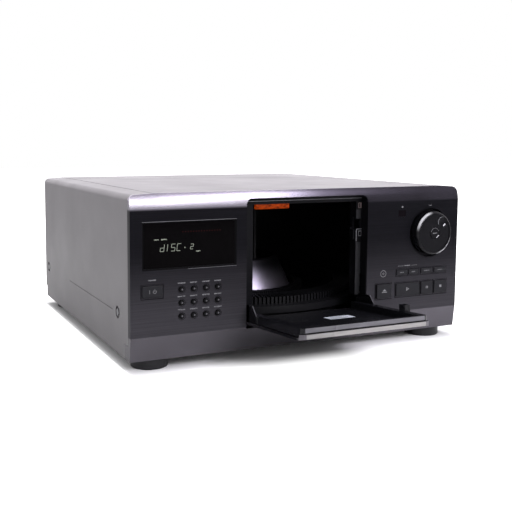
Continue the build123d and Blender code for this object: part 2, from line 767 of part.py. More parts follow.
def make_door_tray(panel_room):
    """Inner liner: a shallow tray with wide side rims, a front wall and the latch hook."""
    tray = block(-tray_half, tray_half, door_skin, door_depth, tray_low, tray_high)
    floor_y = door_skin + tray_floor
    tray -= block(-tray_half + tray_rim, tray_half - tray_rim, floor_y, door_depth + 1,
                  tray_low - 1, tray_high - tray_rim * 0.6)
    for rib in range(3):
        z = tray_low + 14 + 34 * rib
        tray += block(-tray_half + tray_rim, -20, floor_y - 0.5, floor_y + 0.8, z, z + 1.6)
    tray -= panel_room
    tray -= block(-door_half, door_half, 0, door_rim_depth + door_rim_groove,
                  door_high - door_rim_height - door_rim_groove, door_high)
    tray &= prism("y", 0, door_depth + 1, door_outline(door_half - tray_half))
    tray += block(latch_x0, latch_x1, door_depth - 1, latch_depth, latch_low, latch_high)
    return tray - block(latch_x0 + 1.6, latch_x1 - 1.6, door_depth + 2, latch_depth + 1,
                        latch_low + 2, latch_high - 2)


def make_hinge_arms():
    """Steel arms on the tray's sides, each with the pin on which the door turns."""
    arms = []
    for side in (-1, 1):
        near, far = side * tray_half, side * (tray_half + hinge_arm_sheet)
        low, high = sorted((near, far))
        plate = polygon([
            (hinge_y - hinge_arm_radius, hinge_z), (door_skin + 0.5, hinge_z + 6),
            (door_skin + 0.5, ear_high + ear_tip), (door_depth - 1, ear_high + ear_tip),
            (ear_depth, ear_high), (ear_depth, ear_low), (hinge_y + 1, ear_low + 1),
        ]) + Pos(hinge_y, hinge_z) * Circle(hinge_arm_radius)
        arm = prism("x", low, high, plate)
        low, high = sorted((far, side * (opening_half + 0.5 + bay_wall)))
        arms.append(arm + rod("x", low, high, (hinge_y, hinge_z), hinge_pin_radius))
    return arms


# ---------------------------------------------------------------- carousel and its drive
pinion_angle = 0.0
pinion_place_angle = -38.0
drive_pin_radius = 2.0
pulley_radius = 20.0
motor_pulley_radius = 5.0
belt_width = 1.6
belt_z = deck_top + 3.4
table_motor_radius = 100.0


def centred(shape):
    """Piece drawn about the carousel's axis, moved to it."""
    return Pos(0, carousel_y, 0) * shape


def make_carousel():
    """One moulded turntable: bearing sleeve, floor, cone, two combs of slots, rim and ring gear."""
    sleeve_in = bore_radius + shaft_gap
    floor_low = floor_z
    profile = polygon([
        (sleeve_in, thrust_z), (sleeve_in + 6, thrust_z), (sleeve_in + 6, floor_low),
        (rim_radius, floor_low), (rim_radius, floor_top + rim_height), (comb_outer, floor_top + rim_height),
        (comb_outer, floor_top), (cone_foot_radius, floor_top), (bore_radius + 3, cone_top_z - 9),
        (bore_radius - 0.5, cone_top_z - 2), (bore_radius - 3.5, cone_top_z), (bore_radius - 3.5, cone_top_z - 6),
        (sleeve_in, cone_top_z - 12),
    ])
    table = revolve(Plane.XZ * profile, Axis.Z)
    pitch_share = 1 - slot_width / (2 * math.pi * comb_outer / slot_count)
    comb = toothed(slot_count, comb_inner + 2, comb_outer + 1, pitch_share, pitch_share) - Circle(comb_inner)
    table += prism("z", floor_top, floor_top + comb_height, comb)
    inner_share = 0.5
    inner = toothed(slot_count, inner_comb_inner + 2, inner_comb_outer, inner_share, inner_share)
    table += prism("z", floor_top, floor_top + inner_comb_height, inner - Circle(inner_comb_inner))
    ring = Circle(ring_pitch_radius + 6) - gear_outline(ring_teeth, gear_module, internal=True)
    table += prism("z", floor_z - gear_face, floor_z, ring)
    return centred(table)


def make_pulley_gear():
    """Belt pulley and pinion in one, running on a pin of the deck."""
    x, y = around_carousel(ring_pitch_radius - pinion_pitch_radius, pinion_place_angle)
    low = deck_top + 1.0
    gear = rod("z", low, belt_z + 3, (0, 0), pulley_radius)
    groove = tube("z", belt_z - 1, belt_z + 1, (0, 0), pulley_radius + 1, pulley_radius - 1.2)
    gear -= groove
    turn = math.radians(pinion_place_angle - 90)
    phase = turn * (1 - ring_teeth / pinion_teeth)
    gear += prism("z", belt_z + 3, floor_z - 0.6, gear_outline(pinion_teeth, gear_module, phase=phase))
    gear += rod("z", deck_top, low, (0, 0), 5)
    gear -= rod("z", low - 2, floor_z, (0, 0), drive_pin_radius + shaft_gap)
    return Pos(x, y, 0) * gear


table_motor_place = around_carousel(table_motor_radius, pinion_place_angle)
pulley_place = around_carousel(ring_pitch_radius - pinion_pitch_radius, pinion_place_angle)
cam_module = 1.0
cam_teeth = 28
loading_pinion_teeth = 12
cam_x = 34.5
cam_back = 10.0
cam_place = (cam_x, carousel_y + cam_back)
loading_motor_place = (cam_x, cam_place[1] - cam_module * (cam_teeth + loading_pinion_teeth) / 2)
cam_low = deck_top + 3.0
cam_high = cam_low + 5.0


def make_motor_pulley():
    """Small pulley pressed on the carousel motor's shaft."""
    x, y = table_motor_place
    pulley = rod("z", belt_z - 2.4, belt_z + 2.4, (x, y), motor_pulley_radius)
    pulley -= tube("z", belt_z - 1, belt_z + 1, (x, y), motor_pulley_radius + 1, motor_pulley_radius - 1.2)
    return pulley - rod("z", belt_z - 3, belt_z + 3, (x, y), motor_shaft + shaft_gap)


def belt_face(extra):
    """Area inside a loop round both pulleys, extra out from their grooves."""
    (x1, y1), (x2, y2) = table_motor_place, pulley_place
    r1 = motor_pulley_radius - 1.2 + extra
    r2 = pulley_radius - 1.2 + extra
    length = math.hypot(x2 - x1, y2 - y1)
    along = math.atan2(y2 - y1, x2 - x1)
    lean = math.acos((r1 - r2) / length)
    ends = []
    for way in (1, -1):
        across, up = math.cos(along + way * lean), math.sin(along + way * lean)
        ends.append([(x + r * across, y + r * up) for x, y, r in ((x1, y1, r1), (x2, y2, r2))])
    (a1, a2), (b1, b2) = ends
    return polygon([a1, a2, b2, b1]) + Pos(x1, y1) * Circle(r1) + Pos(x2, y2) * Circle(r2)


def make_drive_belt():
    """Round cornered belt in both grooves."""
    gap, half = seat_gap / 2, belt_width / 2
    return prism("z", belt_z - half, belt_z + half, belt_face(gap + belt_width) - belt_face(gap))


def motor_can(place):
    """Small motor under the deck with its shaft standing up through it."""
    x, y = place
    can = rod("z", deck_z - motor_length, deck_z, (x, y), motor_radius)
    return can + rod("z", deck_z, belt_z + 2.4, (x, y), motor_shaft)


sled_gear_y = carousel_y + 27.0
sled_gear_z = pickup_top - 8.0
frame_x = 8.0
frame_sheet = 3.0


def make_drive_motors():
    """The three small motors, which are the same kind: carousel, loading cam and sled."""
    sled_x = frame_x + frame_sheet
    sled = rod("x", sled_x, sled_x + motor_length, (sled_gear_y, sled_gear_z), motor_radius)
    sled += rod("x", frame_x - 4.8, sled_x, (sled_gear_y, sled_gear_z), motor_shaft)
    return [motor_can(table_motor_place), motor_can(loading_motor_place), sled]


def make_mechanism_base():
    """Deck on legs with the curved guard behind the discs, bearing boss, gear pins and motor holes."""
    deck = centred(rod("z", deck_z, deck_top, (0, 0), deck_radius))
    deck_front_y = carousel_front_y - deck_front_gap
    deck &= block(-cabinet_width, cabinet_width, deck_front_y, cabinet_depth, 0, cabinet_height)
    left, right = (around_carousel(2 * deck_radius, way * guard_open_angle) for way in (-1, 1))
    guard = Circle(deck_radius) - Circle(deck_radius - guard_wall)
    guard -= Pos(0, -carousel_y) * polygon([(0, carousel_y), left, right])
    deck += centred(prism("z", deck_top, guard_top_z, guard))
    deck += centred(tube("z", deck_top, thrust_z, (0, 0), bore_radius + thrust_width, bore_radius - boss_wall))
    deck += centred(tube("z", deck_top, floor_top, (0, 0), bore_radius, bore_radius - boss_wall))
    for degrees in range(45, 405, 60):
        deck += rod("z", chassis_floor_z, deck_z, around_carousel(rim_radius - leg_inset, degrees), leg_radius)
    x, y = pulley_place
    deck += rod("z", deck_top, floor_z - 1.5, (x, y), drive_pin_radius)
    deck += rod("z", deck_top, cam_high + 1.0, cam_place, drive_pin_radius)
    for x, y in (table_motor_place, loading_motor_place):
        deck -= rod("z", deck_z - 1, deck_top + 1, (x, y), 3.5)
    return deck


# ---------------------------------------------------------------- player in the middle
frame_half = 46.0
bridge_top = cabinet_height - 12.5
frame_top = bridge_top - 5.0
clamp_x = -12.0
clamp_pivot_z = (frame_top + bridge_top) / 2
rod_radius = 1.5
rod_x = 15.0
rod_spread = 12.0
rod_high = pickup_top + 4.0
window_gap = 1.0
disc_plane_x = 1.6
arm_pivot = (carousel_y + frame_half, deck_top + 13.0)
arm_x = -7.0
arm_sheet = 2.5


def make_mech_frame():
    """Upright frame: plate with the pickup's window, foot, bridge over the disc and arm pivots."""
    y0, y1 = carousel_y - frame_half, carousel_y + frame_half
    plate = block(frame_x, frame_x + frame_sheet, y0, y1, deck_top, frame_top)
    window_half = rod_spread + 9.5
    through = (frame_x - 1, frame_x + frame_sheet + 1)
    plate -= block(*through, carousel_y - window_half, carousel_y + window_half - 2, rod_low + window_gap, rod_high - 2)
    plate -= rod("x", *through, (carousel_y, spindle_z), 4)
    plate -= rod("x", *through, (sled_gear_y, sled_gear_z), 3)
    plate += block(frame_x, frame_x + 9, y0, y1 - 30, deck_top, deck_top + 3)
    for z in (rod_low, rod_high):
        plate += block(frame_x, rod_x + 4, carousel_y - rod_spread - 4, carousel_y + rod_spread + 4, z - 3, z)
    bridge = block(clamp_x - 4, frame_x + frame_sheet, carousel_y - 20, carousel_y + 20, frame_top, bridge_top)
    bridge -= block(clamp_x - 5, clamp_x + 5, carousel_y - 14, carousel_y + 14, frame_top - 1, bridge_top + 1)
    plate += bridge
    plate -= rod("y", carousel_y - 21, carousel_y + 21, (clamp_x, clamp_pivot_z), 1.5 + shaft_gap)
    y, z = arm_pivot
    plate += block(arm_x + arm_sheet + seat_gap, frame_x, y - 5, y, deck_top, z + 5)
    return plate + rod("x", arm_x - 1, frame_x, arm_pivot, 2)


def make_spindle_motor():
    """Flat motor behind the frame, bored for the disc table's shaft."""
    back = frame_x + frame_sheet
    motor = rod("x", back, back + 8, (carousel_y, spindle_z), 13)
    return motor - rod("x", back - 1, back + 9, (carousel_y, spindle_z), 1.2 + shaft_gap)


def make_disc_table():
    """Spindle: shaft, disc seat and centring cone."""
    seat = disc_plane_x + disc_thickness
    table = rod("x", seat, frame_x - 1, (carousel_y, spindle_z), 14)
    table += rod("x", seat - 2.2, seat, (carousel_y, spindle_z), 7.2)
    return table + rod("x", frame_x - 1, frame_x + frame_sheet + 7, (carousel_y, spindle_z), 1.2)


def make_guide_rods():
    """The two rods on which the pickup slides."""
    return [rod("z", rod_low, rod_high - 3, (rod_x, carousel_y + side * rod_spread), rod_radius)
            for side in (-1, 1)]


rack_module = 0.8
sled_pinion_teeth = 15
sled_pinion_radius = rack_module * sled_pinion_teeth / 2
rack_y = sled_gear_y - sled_pinion_radius


def make_pickup_sled():
    """Optical pickup: housing with its lens, ears on both rods and the rack."""
    low = pickup_top - pickup_height
    seat = disc_plane_x + disc_thickness
    body_half = rod_spread - rod_radius - 1.5
    sled = block(seat + 2, rod_x + 4, carousel_y - body_half, carousel_y + body_half, low, pickup_top)
    sled += rod("x", seat + 0.8, seat + 3, (carousel_y, (low + pickup_top) / 2), 4)
    for side in (-1, 1):
        ear = carousel_y + side * rod_spread
        sled += block(rod_x - 3, rod_x + 3.5, ear - 3, ear + 3, low + 2, pickup_top - 2)
    rack_low = sled_gear_z - 6
    rack_back = rack_y - 3.5
    sled += block(seat + 2, seat + 4.6, carousel_y + body_half - 2, rack_back + 1, low + 3, low + 9)
    points = [(rack_back, rack_low)]
    pitch = math.pi * rack_module
    count = math.ceil((sled_travel + 12) / pitch)
    first = sled_gear_z - pitch * round((sled_gear_z - rack_low) / pitch)
    for tooth in range(count):
        z = first + tooth * pitch
        gap = backlash / 2
        points += [(rack_y - rack_module, z - pitch / 2 + gap), (rack_y - rack_module, z - pitch * 0.38 + gap),
                   (rack_y + 0.8 * rack_module, z - pitch * 0.14 + gap / 2),
                   (rack_y + 0.8 * rack_module, z + pitch * 0.14 - gap / 2),
                   (rack_y - rack_module, z + pitch * 0.38 - gap)]
    points.append((rack_back, first + (count - 0.5) * pitch))
    sled += prism("x", seat + 2, seat + 4.6, polygon(points))
    for side in (-1, 1):
        centre = (rod_x, carousel_y + side * rod_spread)
        sled -= rod("z", low - 1, pickup_top + 1, centre, rod_radius + shaft_gap)
    return sled


def make_sled_gear():
    """Pinion on the sled motor's shaft, in mesh with the rack."""
    seat = disc_plane_x + disc_thickness
    phase = math.pi / sled_pinion_teeth + math.pi
    gear = prism("x", seat + 1.6, frame_x - seat_gap,
                 Pos(sled_gear_y, sled_gear_z) * gear_outline(sled_pinion_teeth, rack_module, phase=phase))
    return gear - rod("x", 0, frame_x, (sled_gear_y, sled_gear_z), motor_shaft + shaft_gap)


clamp_sheet = 2.5
clamp_height = clamp_pivot_z - spindle_z
puck_gap = 1.4


def make_clamp_arm():
    """Arm that hangs from the bridge's pin and carries the clamping puck."""
    arm = block(clamp_x - clamp_sheet / 2, clamp_x + clamp_sheet / 2, carousel_y - 10, carousel_y + 10,
                spindle_z - 14, clamp_pivot_z)
    arm += rod("y", carousel_y - 13.5, carousel_y + 13.5, (clamp_x, clamp_pivot_z), 3.2)
    arm += rod("y", carousel_y - 19.5, carousel_y + 19.5, (clamp_x, clamp_pivot_z), 1.5)
    return arm - rod("x", clamp_x - 3, clamp_x + 3, (carousel_y, spindle_z), 2.5 + shaft_gap)


def make_clamp_puck():
    """Puck that turns in the clamp arm and presses the disc on its table."""
    face = disc_plane_x - puck_gap
    puck = rod("x", clamp_x + clamp_sheet / 2 + seat_gap, face, (carousel_y, spindle_z), 14)
    puck -= rod("x", face - 2.6, face + 1, (carousel_y, spindle_z), 7.6)
    back = clamp_x - clamp_sheet / 2 - seat_gap
    puck += rod("x", back, clamp_x + clamp_sheet / 2 + seat_gap, (carousel_y, spindle_z), 2.5)
    return puck + rod("x", back - 1.5, back, (carousel_y, spindle_z), 4.5)


def make_loading_arm():
    """Cranked lever that reaches over the cone and lifts a disc into the player."""
    y, z = arm_pivot
    over = cone_top_z + 5
    lever = polygon([
        (y - 4.5, z), (y - 4.5, over + 9), (y + 84, over + 9), (y + 88, over - 26), (y + 82, over - 30),
        (y + 76, over), (y + 4.5, over), (y + 4.5, z),
    ]) + Pos(y, z) * Circle(4.5) - Pos(y, z) * Circle(2 + shaft_gap)
    arm = prism("x", arm_x, arm_x + arm_sheet, lever)
    return arm + rod("x", arm_x, disc_plane_x + disc_thickness + 3, (y + 82, over - 24), 2.5)


def make_cam_gear():
    """Cam wheel with a guide track on top, driven by the loading pinion."""
    gear = prism("z", cam_low, cam_high, gear_outline(cam_teeth, cam_module))
    gear += rod("z", deck_top, cam_low, (0, 0), 4.5)
    gear -= Pos(3.5, 0) * tube("z", cam_high - 2, cam_high + 1, (0, 0), 10, 7.5)
    gear -= rod("z", deck_top - 1, cam_high + 1, (0, 0), drive_pin_radius + shaft_gap)
    x, y = cam_place
    return Pos(x, y, 0) * gear


def make_loading_pinion():
    """Pinion on the loading motor's shaft, in mesh with the cam wheel."""
    x, y = loading_motor_place
    phase = math.pi / 2 + math.pi / loading_pinion_teeth + (math.pi / 2) * cam_teeth / loading_pinion_teeth
    gear = prism("z", cam_low, cam_high, gear_outline(loading_pinion_teeth, cam_module, phase=phase))
    gear -= rod("z", cam_low - 1, cam_high + 1, (0, 0), motor_shaft + shaft_gap)
    return Pos(x, y, 0) * gear


# ---------------------------------------------------------------- power and main board
transformer_x = -150.0
transformer_rear_gap = 28.0


def make_power_transformer():
    """Laminated core with two windows, and the winding on its middle leg."""
    x, y = transformer_x, cabinet_depth - transformer_rear_gap
    width, depth, height = 54.0, 26.0, 46.0
    low = chassis_floor_z
    core = block(x - width / 2, x + width / 2, y - depth / 2, y + depth / 2, low, low + height)
    for side in (-1, 1):
        middle = x + side * width / 4
        core -= block(middle - 5.5, middle + 5.5, y - depth, y + depth, low + 9, low + height - 9)
    coil = prism("z", low + 9.5, low + height - 9.5, rounded(39.0, depth + 20, 8, (x, y)))
    front, back = y - depth / 2 - 0.2, y + depth / 2 + 0.2
    coil -= block(x - width / 4 + 5.2, x + width / 4 - 5.2, front, back, low, low + height)
    for side in (-1, 1):
        edge = x + side * (width / 4 + 5.3)
        outer = x + side * width
        coil -= block(*sorted((edge, outer)), front, back, low, low + height)
    return core, coil


main_board_z = chassis_floor_z + 6.8
main_board_left, main_board_right = 76.0, board_far
main_board_depth = 92.0
main_board_rear = cabinet_depth - 12.0
main_board_front = main_board_rear - main_board_depth
# chips: (from the board's left edge, from its front edge, size)
chips = ((28, 22, 20), (64, 26, 14), (96, 20, 12), (36, 56, 14))
# capacitors: (from the board's right edge, from its rear edge)
capacitors = ((10, 14), (10, 32), (26, 16), (10, 50))


def make_main_board():
    """Main board on standoffs, with chips in front and tall capacitors in the free corner."""
    top = main_board_z + board_thickness
    plate = block(main_board_left, main_board_right, main_board_front, main_board_rear, main_board_z, top)
    shapes = [plate]
    for x in (main_board_left + 5, main_board_right - 5):
        for y in (main_board_front + 5, main_board_rear - 5):
            shapes.append(rod("z", chassis_floor_z, main_board_z, (x, y), 3))
    for across, along, size in chips:
        x, y = main_board_left + across, main_board_front + along
        shapes.append(block(x - size / 2, x + size / 2, y - size / 2, y + size / 2, top, top + 2.4))
    for across, along in capacitors:
        shapes.append(rod("z", top, top + 24, (main_board_right - across, main_board_rear - along), 6.5))
    left = main_board_left + 60
    shapes.append(block(left, left + 40, main_board_rear - 8, main_board_rear - 4, top, top + 4))
    return shapes


# ---------------------------------------------------------------- all pieces
fascia = make_fascia()
add("top_cover", make_top_cover())
add("chassis", make_chassis())
add("feet", *make_feet())
add("rear_panel", make_rear_panel())
add("rear_jacks", *make_rear_jacks())
add("power_inlet", make_power_inlet())
add("case_screws", *make_case_screws())
add("fascia", fascia)
add("display_lens", make_display_lens())
add("sensor_window", make_sensor_window())
add("display_module", *make_display_module())
add("control_board", *make_control_board())
add("dial_board", *make_dial_board())
for name, place in key_places.items():
    add(name, make_key(*place))
for number, (x, z) in enumerate(small_places, start=1):
    add(f"small_button_{number}", make_small_button(x, z))
add("jog_dial", make_jog_dial())
add("enter_button", make_enter_button())

def in_front_of(shift):
    """Everything in front of the fascia's outline moved back by shift."""
    front = fascia_profile(-5, cabinet_depth) - fascia_profile(shift, cabinet_depth)
    return prism("x", -half_width, half_width, front)


add("bay_frame", make_bay_frame(in_front_of(fascia_wall)))
add("bay_lamp", make_bay_lamp())
add("door_panel", opened(make_door_panel()))
add("door_tray", opened(make_door_tray(in_front_of(door_skin))))
add("hinge_arms", *[opened(arm) for arm in make_hinge_arms()])

add("mechanism_base", make_mechanism_base())
add("carousel", make_carousel())
add("pulley_gear", make_pulley_gear())
add("motor_pulley", make_motor_pulley())
add("drive_belt", make_drive_belt())
add("drive_motors", *make_drive_motors())
add("mech_frame", make_mech_frame())
add("spindle_motor", make_spindle_motor())
add("disc_table", make_disc_table())
add("guide_rods", *make_guide_rods())
add("pickup_sled", make_pickup_sled())
add("sled_gear", make_sled_gear())
add("clamp_arm", make_clamp_arm())
add("clamp_puck", make_clamp_puck())
add("loading_arm", make_loading_arm())
add("cam_gear", make_cam_gear())
add("loading_pinion", make_loading_pinion())
add("power_transformer", *make_power_transformer())
add("main_board", *make_main_board())

everything = Compound([solid for solids in pieces.values() for solid in solids])
box = everything.bounding_box()
origin_y = (box.min.Y + box.max.Y) / 2
print("box", box.min, box.max, "origin_y", round(origin_y, 4), "nodes", len(pieces))

for name, solids in pieces.items():
    moved = [Pos(0, -origin_y, 0) * solid for solid in solids]
    export_step(moved[0] if len(moved) == 1 else Compound(children=moved), f"parts/{name}.step")
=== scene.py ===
import math
import random

import bpy
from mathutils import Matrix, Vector


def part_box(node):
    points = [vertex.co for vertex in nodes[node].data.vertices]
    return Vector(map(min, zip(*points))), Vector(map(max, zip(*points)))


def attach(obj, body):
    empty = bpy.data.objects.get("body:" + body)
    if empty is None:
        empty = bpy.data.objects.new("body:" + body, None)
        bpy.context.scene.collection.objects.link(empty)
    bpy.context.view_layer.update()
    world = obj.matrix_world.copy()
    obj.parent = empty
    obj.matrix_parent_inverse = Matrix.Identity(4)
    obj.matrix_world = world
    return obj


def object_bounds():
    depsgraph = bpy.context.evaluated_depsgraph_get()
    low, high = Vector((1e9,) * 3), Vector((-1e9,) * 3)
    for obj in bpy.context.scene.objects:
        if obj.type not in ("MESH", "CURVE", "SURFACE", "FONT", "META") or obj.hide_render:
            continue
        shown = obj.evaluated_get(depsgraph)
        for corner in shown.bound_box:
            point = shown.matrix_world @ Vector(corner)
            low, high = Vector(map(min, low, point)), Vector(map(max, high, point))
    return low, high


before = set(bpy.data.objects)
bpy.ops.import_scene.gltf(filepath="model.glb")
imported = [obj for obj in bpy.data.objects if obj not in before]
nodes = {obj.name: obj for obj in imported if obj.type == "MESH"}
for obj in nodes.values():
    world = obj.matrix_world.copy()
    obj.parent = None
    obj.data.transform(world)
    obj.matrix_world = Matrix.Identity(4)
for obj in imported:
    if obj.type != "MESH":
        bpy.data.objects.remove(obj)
cad_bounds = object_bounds()
MM = 0.001


def centre_of(name):
    """Middle of a node's box."""
    low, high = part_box(name)
    return [(a + b) / 2 for a, b in zip(low, high)]


# ------------------------------------------------------------------ sizes
# The flat face of the fascia is the reference plane for everything on the front.
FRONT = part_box("fascia")[0].y
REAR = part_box("rear_panel")[1].y
OUTWARD = (0, -1, 0)

# Metres, as the materials read them. A pair gives where a change starts and where it ends.
LOWER_CREASE = 0.0385
UPPER_CREASE = 0.171
LOWER_BLEND = 0.0012
UPPER_BLEND = 0.004
NOWHERE = 9.0  # past every surface, so what starts here never shows
FACE_REFLECTION_FADE = (0.135, 0.045)  # heights: the face is dark above the first and palest below the second, a painted reflection of the floor
UPPER_HIGHLIGHT_END = (0.03, -0.09)  # along X, where the upper band turns paler to the left as a painted highlight
WINDOW = (-0.2015, -0.0925, 0.1085, 0.1594)  # left, right, bottom and top of the display window's bevel
BEVEL_EDGE = 0.0002
DOOR_CREASE = FRONT - 0.107  # the door is open at rest, so its height runs along -Y
# Along Y, the door's face turns paler toward the hinge: the same painted reflection as the fascia's face.
DOOR_REFLECTION_FADE = (FRONT - 0.071, FRONT + 0.019)
CONE_RADIUS = 0.0795
# Heights over which the cone's painted reflection fades to dark toward its top.
CONE_REFLECTION_FADE = (0.084, 0.050)
DISH_RIM = (0.0031, 0.0036)
# Painted glint on each round key: radii over which it fades, and how far right of the middle it sits.
DISH_GLINT = (0.0014, 0.0005)
DISH_GLINT_ASIDE = 0.0006
SHADOW_REACH = 0.045
LEFT_FALL = 12.0  # the shadow ends this many times sooner at the left side

# Millimetres, as the marks on the front and the door are laid out.
THIN = 0.06
BRACKET_THICK = 0.1
LABEL_THICK = 0.1
JAMB_DEPTH = 12.5
KEY_GAP = 0.3
GAP_WIDTH, SLIM_GAP_WIDTH = 0.6, 0.35
GAP_TOP_SHARE = 0.4  # the gap above a key shows thinner than the one below it
DOOR_ANGLE = 86.0
HINGE_DEPTH, HINGE_HEIGHT = 12.0, 52.0
TRAY_FLOOR = 4.5
TRAY_TOP, DOOR_TOP = 178.0, 180.0
EDGE_HIGHLIGHT_HALF = 73.0
BUTTON_COLUMNS, BUTTON_ROWS = 4, 3
FIRST_BUTTON = (-157.5, 86.3)
BUTTON_PITCH = (14.2, 14.4)
CAPTION_RISE = 6.9
DIAL_BEVEL = 2.4
DIMPLE_ANGLE, DIMPLE_REACH = 48.0, 17.5
DIAL_FACE_DEPTH = 0.6  # the dial's face lies this far behind the front of its rim
DIMPLE_HOLLOW = 0.55

# The photograph's camera: pixels of its frame, metres and degrees, with the sensor in millimetres.
IMAGE_SIZE = 512
FOCAL_LENGTH = 778.3
PRINCIPAL = (205, 215)
SENSOR = 36.0
CAMERA_PLACE = (-0.4658, FRONT - 0.7581, 0.2432)
CAMERA_DOWN, CAMERA_ROLL, CAMERA_TURN = 5.39, -0.10, -23.86

# Darkest and palest colour of the fascia's parts.
FACE = ((0.003, 0.003, 0.004), (0.006, 0.0058, 0.0078))
# The face's paler colour low down is a painted reflection of the floor.
FACE_REFLECTION = ((0.024, 0.023, 0.0265), (0.040, 0.038, 0.044))
# The lower bands of the fascia and the door are metallic bands, their paler tone partly a painted reflection.
LOWER_BAND_REFLECTED = ((0.073, 0.069, 0.077), (0.100, 0.094, 0.107))
DOOR_BAND_REFLECTED = ((0.095, 0.090, 0.099), (0.13, 0.123, 0.136))
UPPER_BAND = ((0.020, 0.0185, 0.023), (0.029, 0.027, 0.034))
# The upper band's paler colour toward the left is a painted highlight.
UPPER_BAND_HIGHLIGHT = ((0.15, 0.141, 0.164), (0.185, 0.174, 0.203))
WINDOW_BLACK = (0.002, 0.002, 0.0025)


# ------------------------------------------------------------------ shader nodes
def tree_of(name):
    """New material with its shader and the object's own coordinates."""
    material = bpy.data.materials.new(name)
    material.use_nodes = True
    tree = material.node_tree
    shader = tree.nodes["Principled BSDF"]
    coords = tree.nodes.new("ShaderNodeTexCoord")
    return material, tree, shader, coords.outputs["Object"]


def scaled(tree, source, scale):
    """Coordinates stretched by a scale along each axis."""
    mapping = tree.nodes.new("ShaderNodeMapping")
    mapping.inputs["Scale"].default_value = scale
    tree.links.new(source, mapping.inputs["Vector"])
    return mapping.outputs["Vector"]


def split_axes(tree, source):
    """X, Y and Z of a coordinate, as sockets by name."""
    node = tree.nodes.new("ShaderNodeSeparateXYZ")
    tree.links.new(source, node.inputs["Vector"])
    return node.outputs


def noise(tree, source, scale, detail):
    """Grey noise pattern."""
    node = tree.nodes.new("ShaderNodeTexNoise")
    node.inputs["Scale"].default_value = scale
    node.inputs["Detail"].default_value = detail
    node.inputs["Roughness"].default_value = 0.6
    tree.links.new(source, node.inputs["Vector"])
    return node.outputs["Fac"]


def ramp(tree, source, stops):
    """Colour ramp over a grey pattern."""
    node = tree.nodes.new("ShaderNodeValToRGB")
    elements = node.color_ramp.elements
    while len(elements) < len(stops):
        elements.new(0.5)
    for element, (place, color) in zip(elements, stops):
        element.position = place
        element.color = (*color, 1)
    tree.links.new(source, node.inputs["Fac"])
    return node.outputs["Color"]


def spread(tree, source, low, high):
    """Grey pattern spread over a range of values."""
    node = tree.nodes.new("ShaderNodeMapRange")
    node.inputs["From Min"].default_value = 0.3
    node.inputs["From Max"].default_value = 0.7
    node.inputs["To Min"].default_value = low
    node.inputs["To Max"].default_value = high
    tree.links.new(source, node.inputs["Value"])
    return node.outputs["Result"]


def step_between(tree, source, start, end):
    """0 at start and beyond it, 1 at end and beyond it, smooth between them."""
    node = tree.nodes.new("ShaderNodeMapRange")
    node.interpolation_type = "SMOOTHSTEP"
    node.inputs["From Min"].default_value = min(start, end)
    node.inputs["From Max"].default_value = max(start, end)
    node.inputs["To Min"].default_value = 0.0 if end > start else 1.0
    node.inputs["To Max"].default_value = 1.0 if end > start else 0.0
    tree.links.new(source, node.inputs["Value"])
    return node.outputs["Result"]


def math_node(tree, operation, first, second=None):
    """Math node. Each input is a socket or a number."""
    node = tree.nodes.new("ShaderNodeMath")
    node.operation = operation
    for socket, value in zip(node.inputs, (first, second)):
        if value is None:
            continue
        if isinstance(value, (int, float)):
            socket.default_value = value
        else:
            tree.links.new(value, socket)
    return node.outputs["Value"]


def mixed(tree, factor, first, second):
    """Mix of two colours. Each is a socket or three numbers."""
    node = tree.nodes.new("ShaderNodeMix")
    node.data_type = "RGBA"
    tree.links.new(factor, node.inputs[0])
    for socket, value in ((node.inputs[6], first), (node.inputs[7], second)):
        if isinstance(value, tuple):
            socket.default_value = (*value, 1)
        else:
            tree.links.new(value, socket)
    return node.outputs[2]


def distance_from(tree, first, second):
    """Distance from a centre, from sockets that hold two coordinates measured from it."""
    square = math_node(tree, "ADD", math_node(tree, "MULTIPLY", first, first),
                       math_node(tree, "MULTIPLY", second, second))
    return math_node(tree, "SQRT", square)


def bumped(tree, shader, source, strength, distance):
    """Surface relief from a grey pattern."""
    node = tree.nodes.new("ShaderNodeBump")
    node.inputs["Strength"].default_value = strength
    node.inputs["Distance"].default_value = distance
    tree.links.new(source, node.inputs["Height"])
    tree.links.new(node.outputs["Normal"], shader.inputs["Normal"])


# ------------------------------------------------------------------ finishes
def surface(name, color, rough, metallic=0.0, vary=0.12, grain=900.0, relief=0.08, depth=0.00004,
            stretch=(1, 1, 1), rough_vary=0.06, specular=0.5):
    """Painted, moulded or metal surface: fine grain, slight colour and gloss changes."""
    material, tree, shader, where = tree_of(name)
    fine = noise(tree, scaled(tree, where, stretch), grain, 3.0)
    broad = noise(tree, where, 9.0, 3.0)
    dark = tuple(c * (1 - vary) for c in color)
    light = tuple(min(1, c * (1 + vary)) for c in color)
    blend = tree.nodes.new("ShaderNodeMix")
    blend.inputs["Factor"].default_value = 0.45
    tree.links.new(fine, blend.inputs["A"])
    tree.links.new(broad, blend.inputs["B"])
    color = ramp(tree, blend.outputs["Result"], [(0.35, dark), (0.65, light)])
    tree.links.new(color, shader.inputs["Base Color"])
    tree.links.new(spread(tree, broad, rough - rough_vary, rough + rough_vary), shader.inputs["Roughness"])
    bumped(tree, shader, fine, relief, depth)
    shader.inputs["Metallic"].default_value = metallic
    shader.inputs["Specular IOR Level"].default_value = specular
    return material


